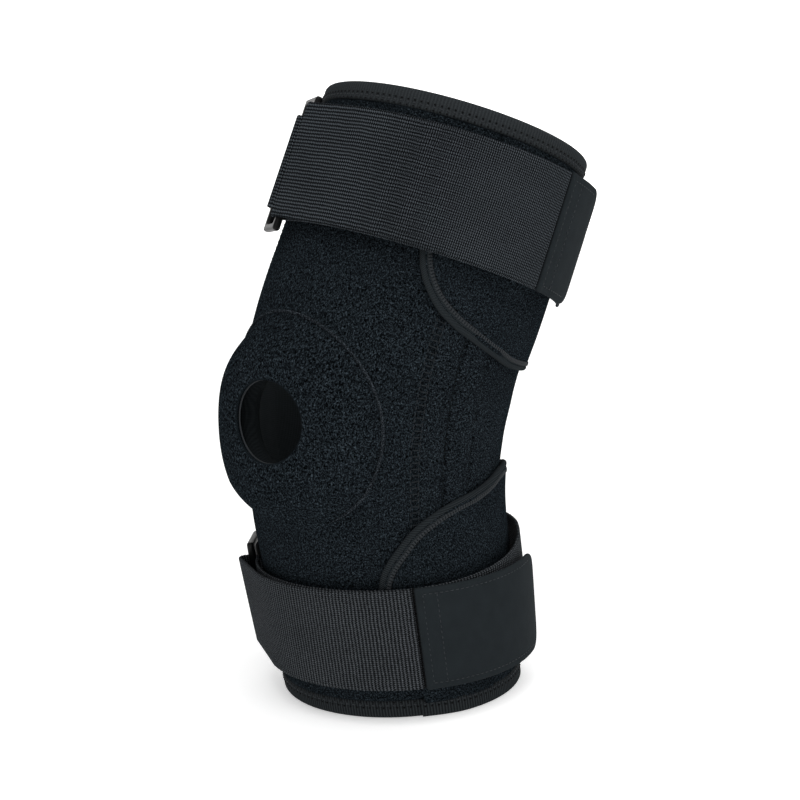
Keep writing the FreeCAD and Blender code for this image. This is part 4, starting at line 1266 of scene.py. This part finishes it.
def finish_rings():
    """The slide rings keep their CAD shape and get their plastic."""
    for name in ("thigh_slide_ring", "calf_slide_ring"):
        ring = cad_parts[name]
        ring.data.materials.clear()
        ring.data.materials.append(RING_PLASTIC)


# ---------------------------------------------------------------- studio
TARGET = np.array([0.0, -0.005, 0.156])
CAMERA_DISTANCE = 0.832
AZIMUTH, ELEVATION, ROLL = math.radians(38.83), math.radians(10.07), math.radians(-3.07)


def make_camera():
    back = np.array([
        math.sin(AZIMUTH) * math.cos(ELEVATION), -math.cos(AZIMUTH) * math.cos(ELEVATION), math.sin(ELEVATION)
    ])
    right = np.cross([0.0, 0.0, 1.0], back)
    right /= np.linalg.norm(right)
    up = np.cross(back, right)
    cos, sin = math.cos(ROLL), math.sin(ROLL)
    right, up = right * cos + up * sin, up * cos - right * sin
    place = TARGET + back * CAMERA_DISTANCE
    data = bpy.data.cameras.new("photo_camera")
    data.sensor_width = 36.0
    data.lens = 78.26
    data.shift_x, data.shift_y = 0.0284, -0.0398
    data.clip_start, data.clip_end = 0.05, 50.0
    camera = bpy.data.objects.new("photo_camera", data)
    camera.matrix_world = Matrix([
        [right[0], up[0], back[0], place[0]], [right[1], up[1], back[1], place[1]],
        [right[2], up[2], back[2], place[2]], [0.0, 0.0, 0.0, 1.0],
    ])
    bpy.context.scene.collection.objects.link(camera)
    bpy.context.scene.camera = camera


def glowing(name, colour, strength):
    """Pale studio surface: diffuse paper with light from behind it."""
    material = bpy.data.materials.new(name)
    material.use_nodes = True
    surface = material.node_tree.nodes["Principled BSDF"]
    surface.inputs["Base Color"].default_value = (*colour, 1.0)
    surface.inputs["Roughness"].default_value = 0.9
    surface.inputs["Specular IOR Level"].default_value = 0.0
    surface.inputs["Emission Color"].default_value = (1.0, 1.0, 1.0, 1.0)
    surface.inputs["Emission Strength"].default_value = strength
    return material


def make_studio():
    """Pale floor that curves up into a backdrop far behind the brace."""
    rows = [(-2.5, 0.0), (2.0, 0.0)]
    rows += [(2.0 + 0.8 * math.sin(a), 0.8 - 0.8 * math.cos(a)) for a in np.linspace(0.15, math.pi / 2, 10)]
    rows += [(2.8, 4.0)]
    half = 5.0
    points = [(x, y, z) for y, z in rows for x in (-half, half)]
    faces = [(2 * k, 2 * k + 1, 2 * k + 3, 2 * k + 2) for k in range(len(rows) - 1)]
    mesh = bpy.data.meshes.new("backdrop")
    mesh.from_pydata(points, [], faces)
    mesh.materials.append(glowing("studio_floor", (0.9, 0.9, 0.9), 0.42))
    mesh.materials.append(glowing("studio_wall", (0.9, 0.9, 0.9), 0.85))
    mesh.polygons.foreach_set("use_smooth", [True] * len(mesh.polygons))
    mesh.polygons.foreach_set("material_index", [0] + [1] * (len(faces) - 1))
    backdrop = bpy.data.objects.new("backdrop", mesh)
    backdrop.rotation_euler = (0.0, 0.0, AZIMUTH)
    bpy.context.scene.collection.objects.link(backdrop)
    world = bpy.data.worlds.new("studio")
    world.use_nodes = True
    world.node_tree.nodes["Background"].inputs["Color"].default_value = (1.0, 1.0, 1.0, 1.0)
    world.node_tree.nodes["Background"].inputs["Strength"].default_value = 0.37
    bpy.context.scene.world = world
    bpy.context.scene.view_settings.view_transform = "Standard"


def make_light(name, azimuth, elevation, distance, size, power):
    """Soft square lamp that faces the brace."""
    angle, rise = math.radians(azimuth), math.radians(elevation)
    way = Vector((math.sin(angle) * math.cos(rise), -math.cos(angle) * math.cos(rise), math.sin(rise)))
    data = bpy.data.lights.new(name, "AREA")
    data.shape = "SQUARE"
    data.size = size
    data.energy = power
    lamp = bpy.data.objects.new(name, data)
    lamp.location = Vector((0.02, 0.02, 0.16)) + way * distance
    lamp.rotation_euler = way.to_track_quat("Z", "Y").to_euler()
    bpy.context.scene.collection.objects.link(lamp)


# ---------------------------------------------------------------- assembly
make_camera()
make_studio()
make_light("key_light", 46.0, 62.0, 1.7, 1.3, 15.0)
make_light("fill_light", 36.0, 18.0, 1.8, 1.6, 2.6)
make_light("rim_light", 140.0, 35.0, 1.6, 0.9, 3.0)

make_front()
make_dome_welt()
for side_name, sign in (("lateral", 1.0), ("medial", -1.0)):
    make_side(side_name, sign)
    make_side_seams(side_name, sign)
    make_stay("stay_%s_front" % side_name, sign, 62.8)
    make_stay("stay_%s_rear" % side_name, sign, 77.0)
    make_stay_pocket(side_name, sign)
make_buttress()
make_rim_tapes()
make_upper_wing()
make_lower_wing()
make_wing_seams()
for strap_name in ("thigh", "calf"):
    make_strap(strap_name)
    make_tab(strap_name)
    make_anchor(strap_name)
finish_rings()
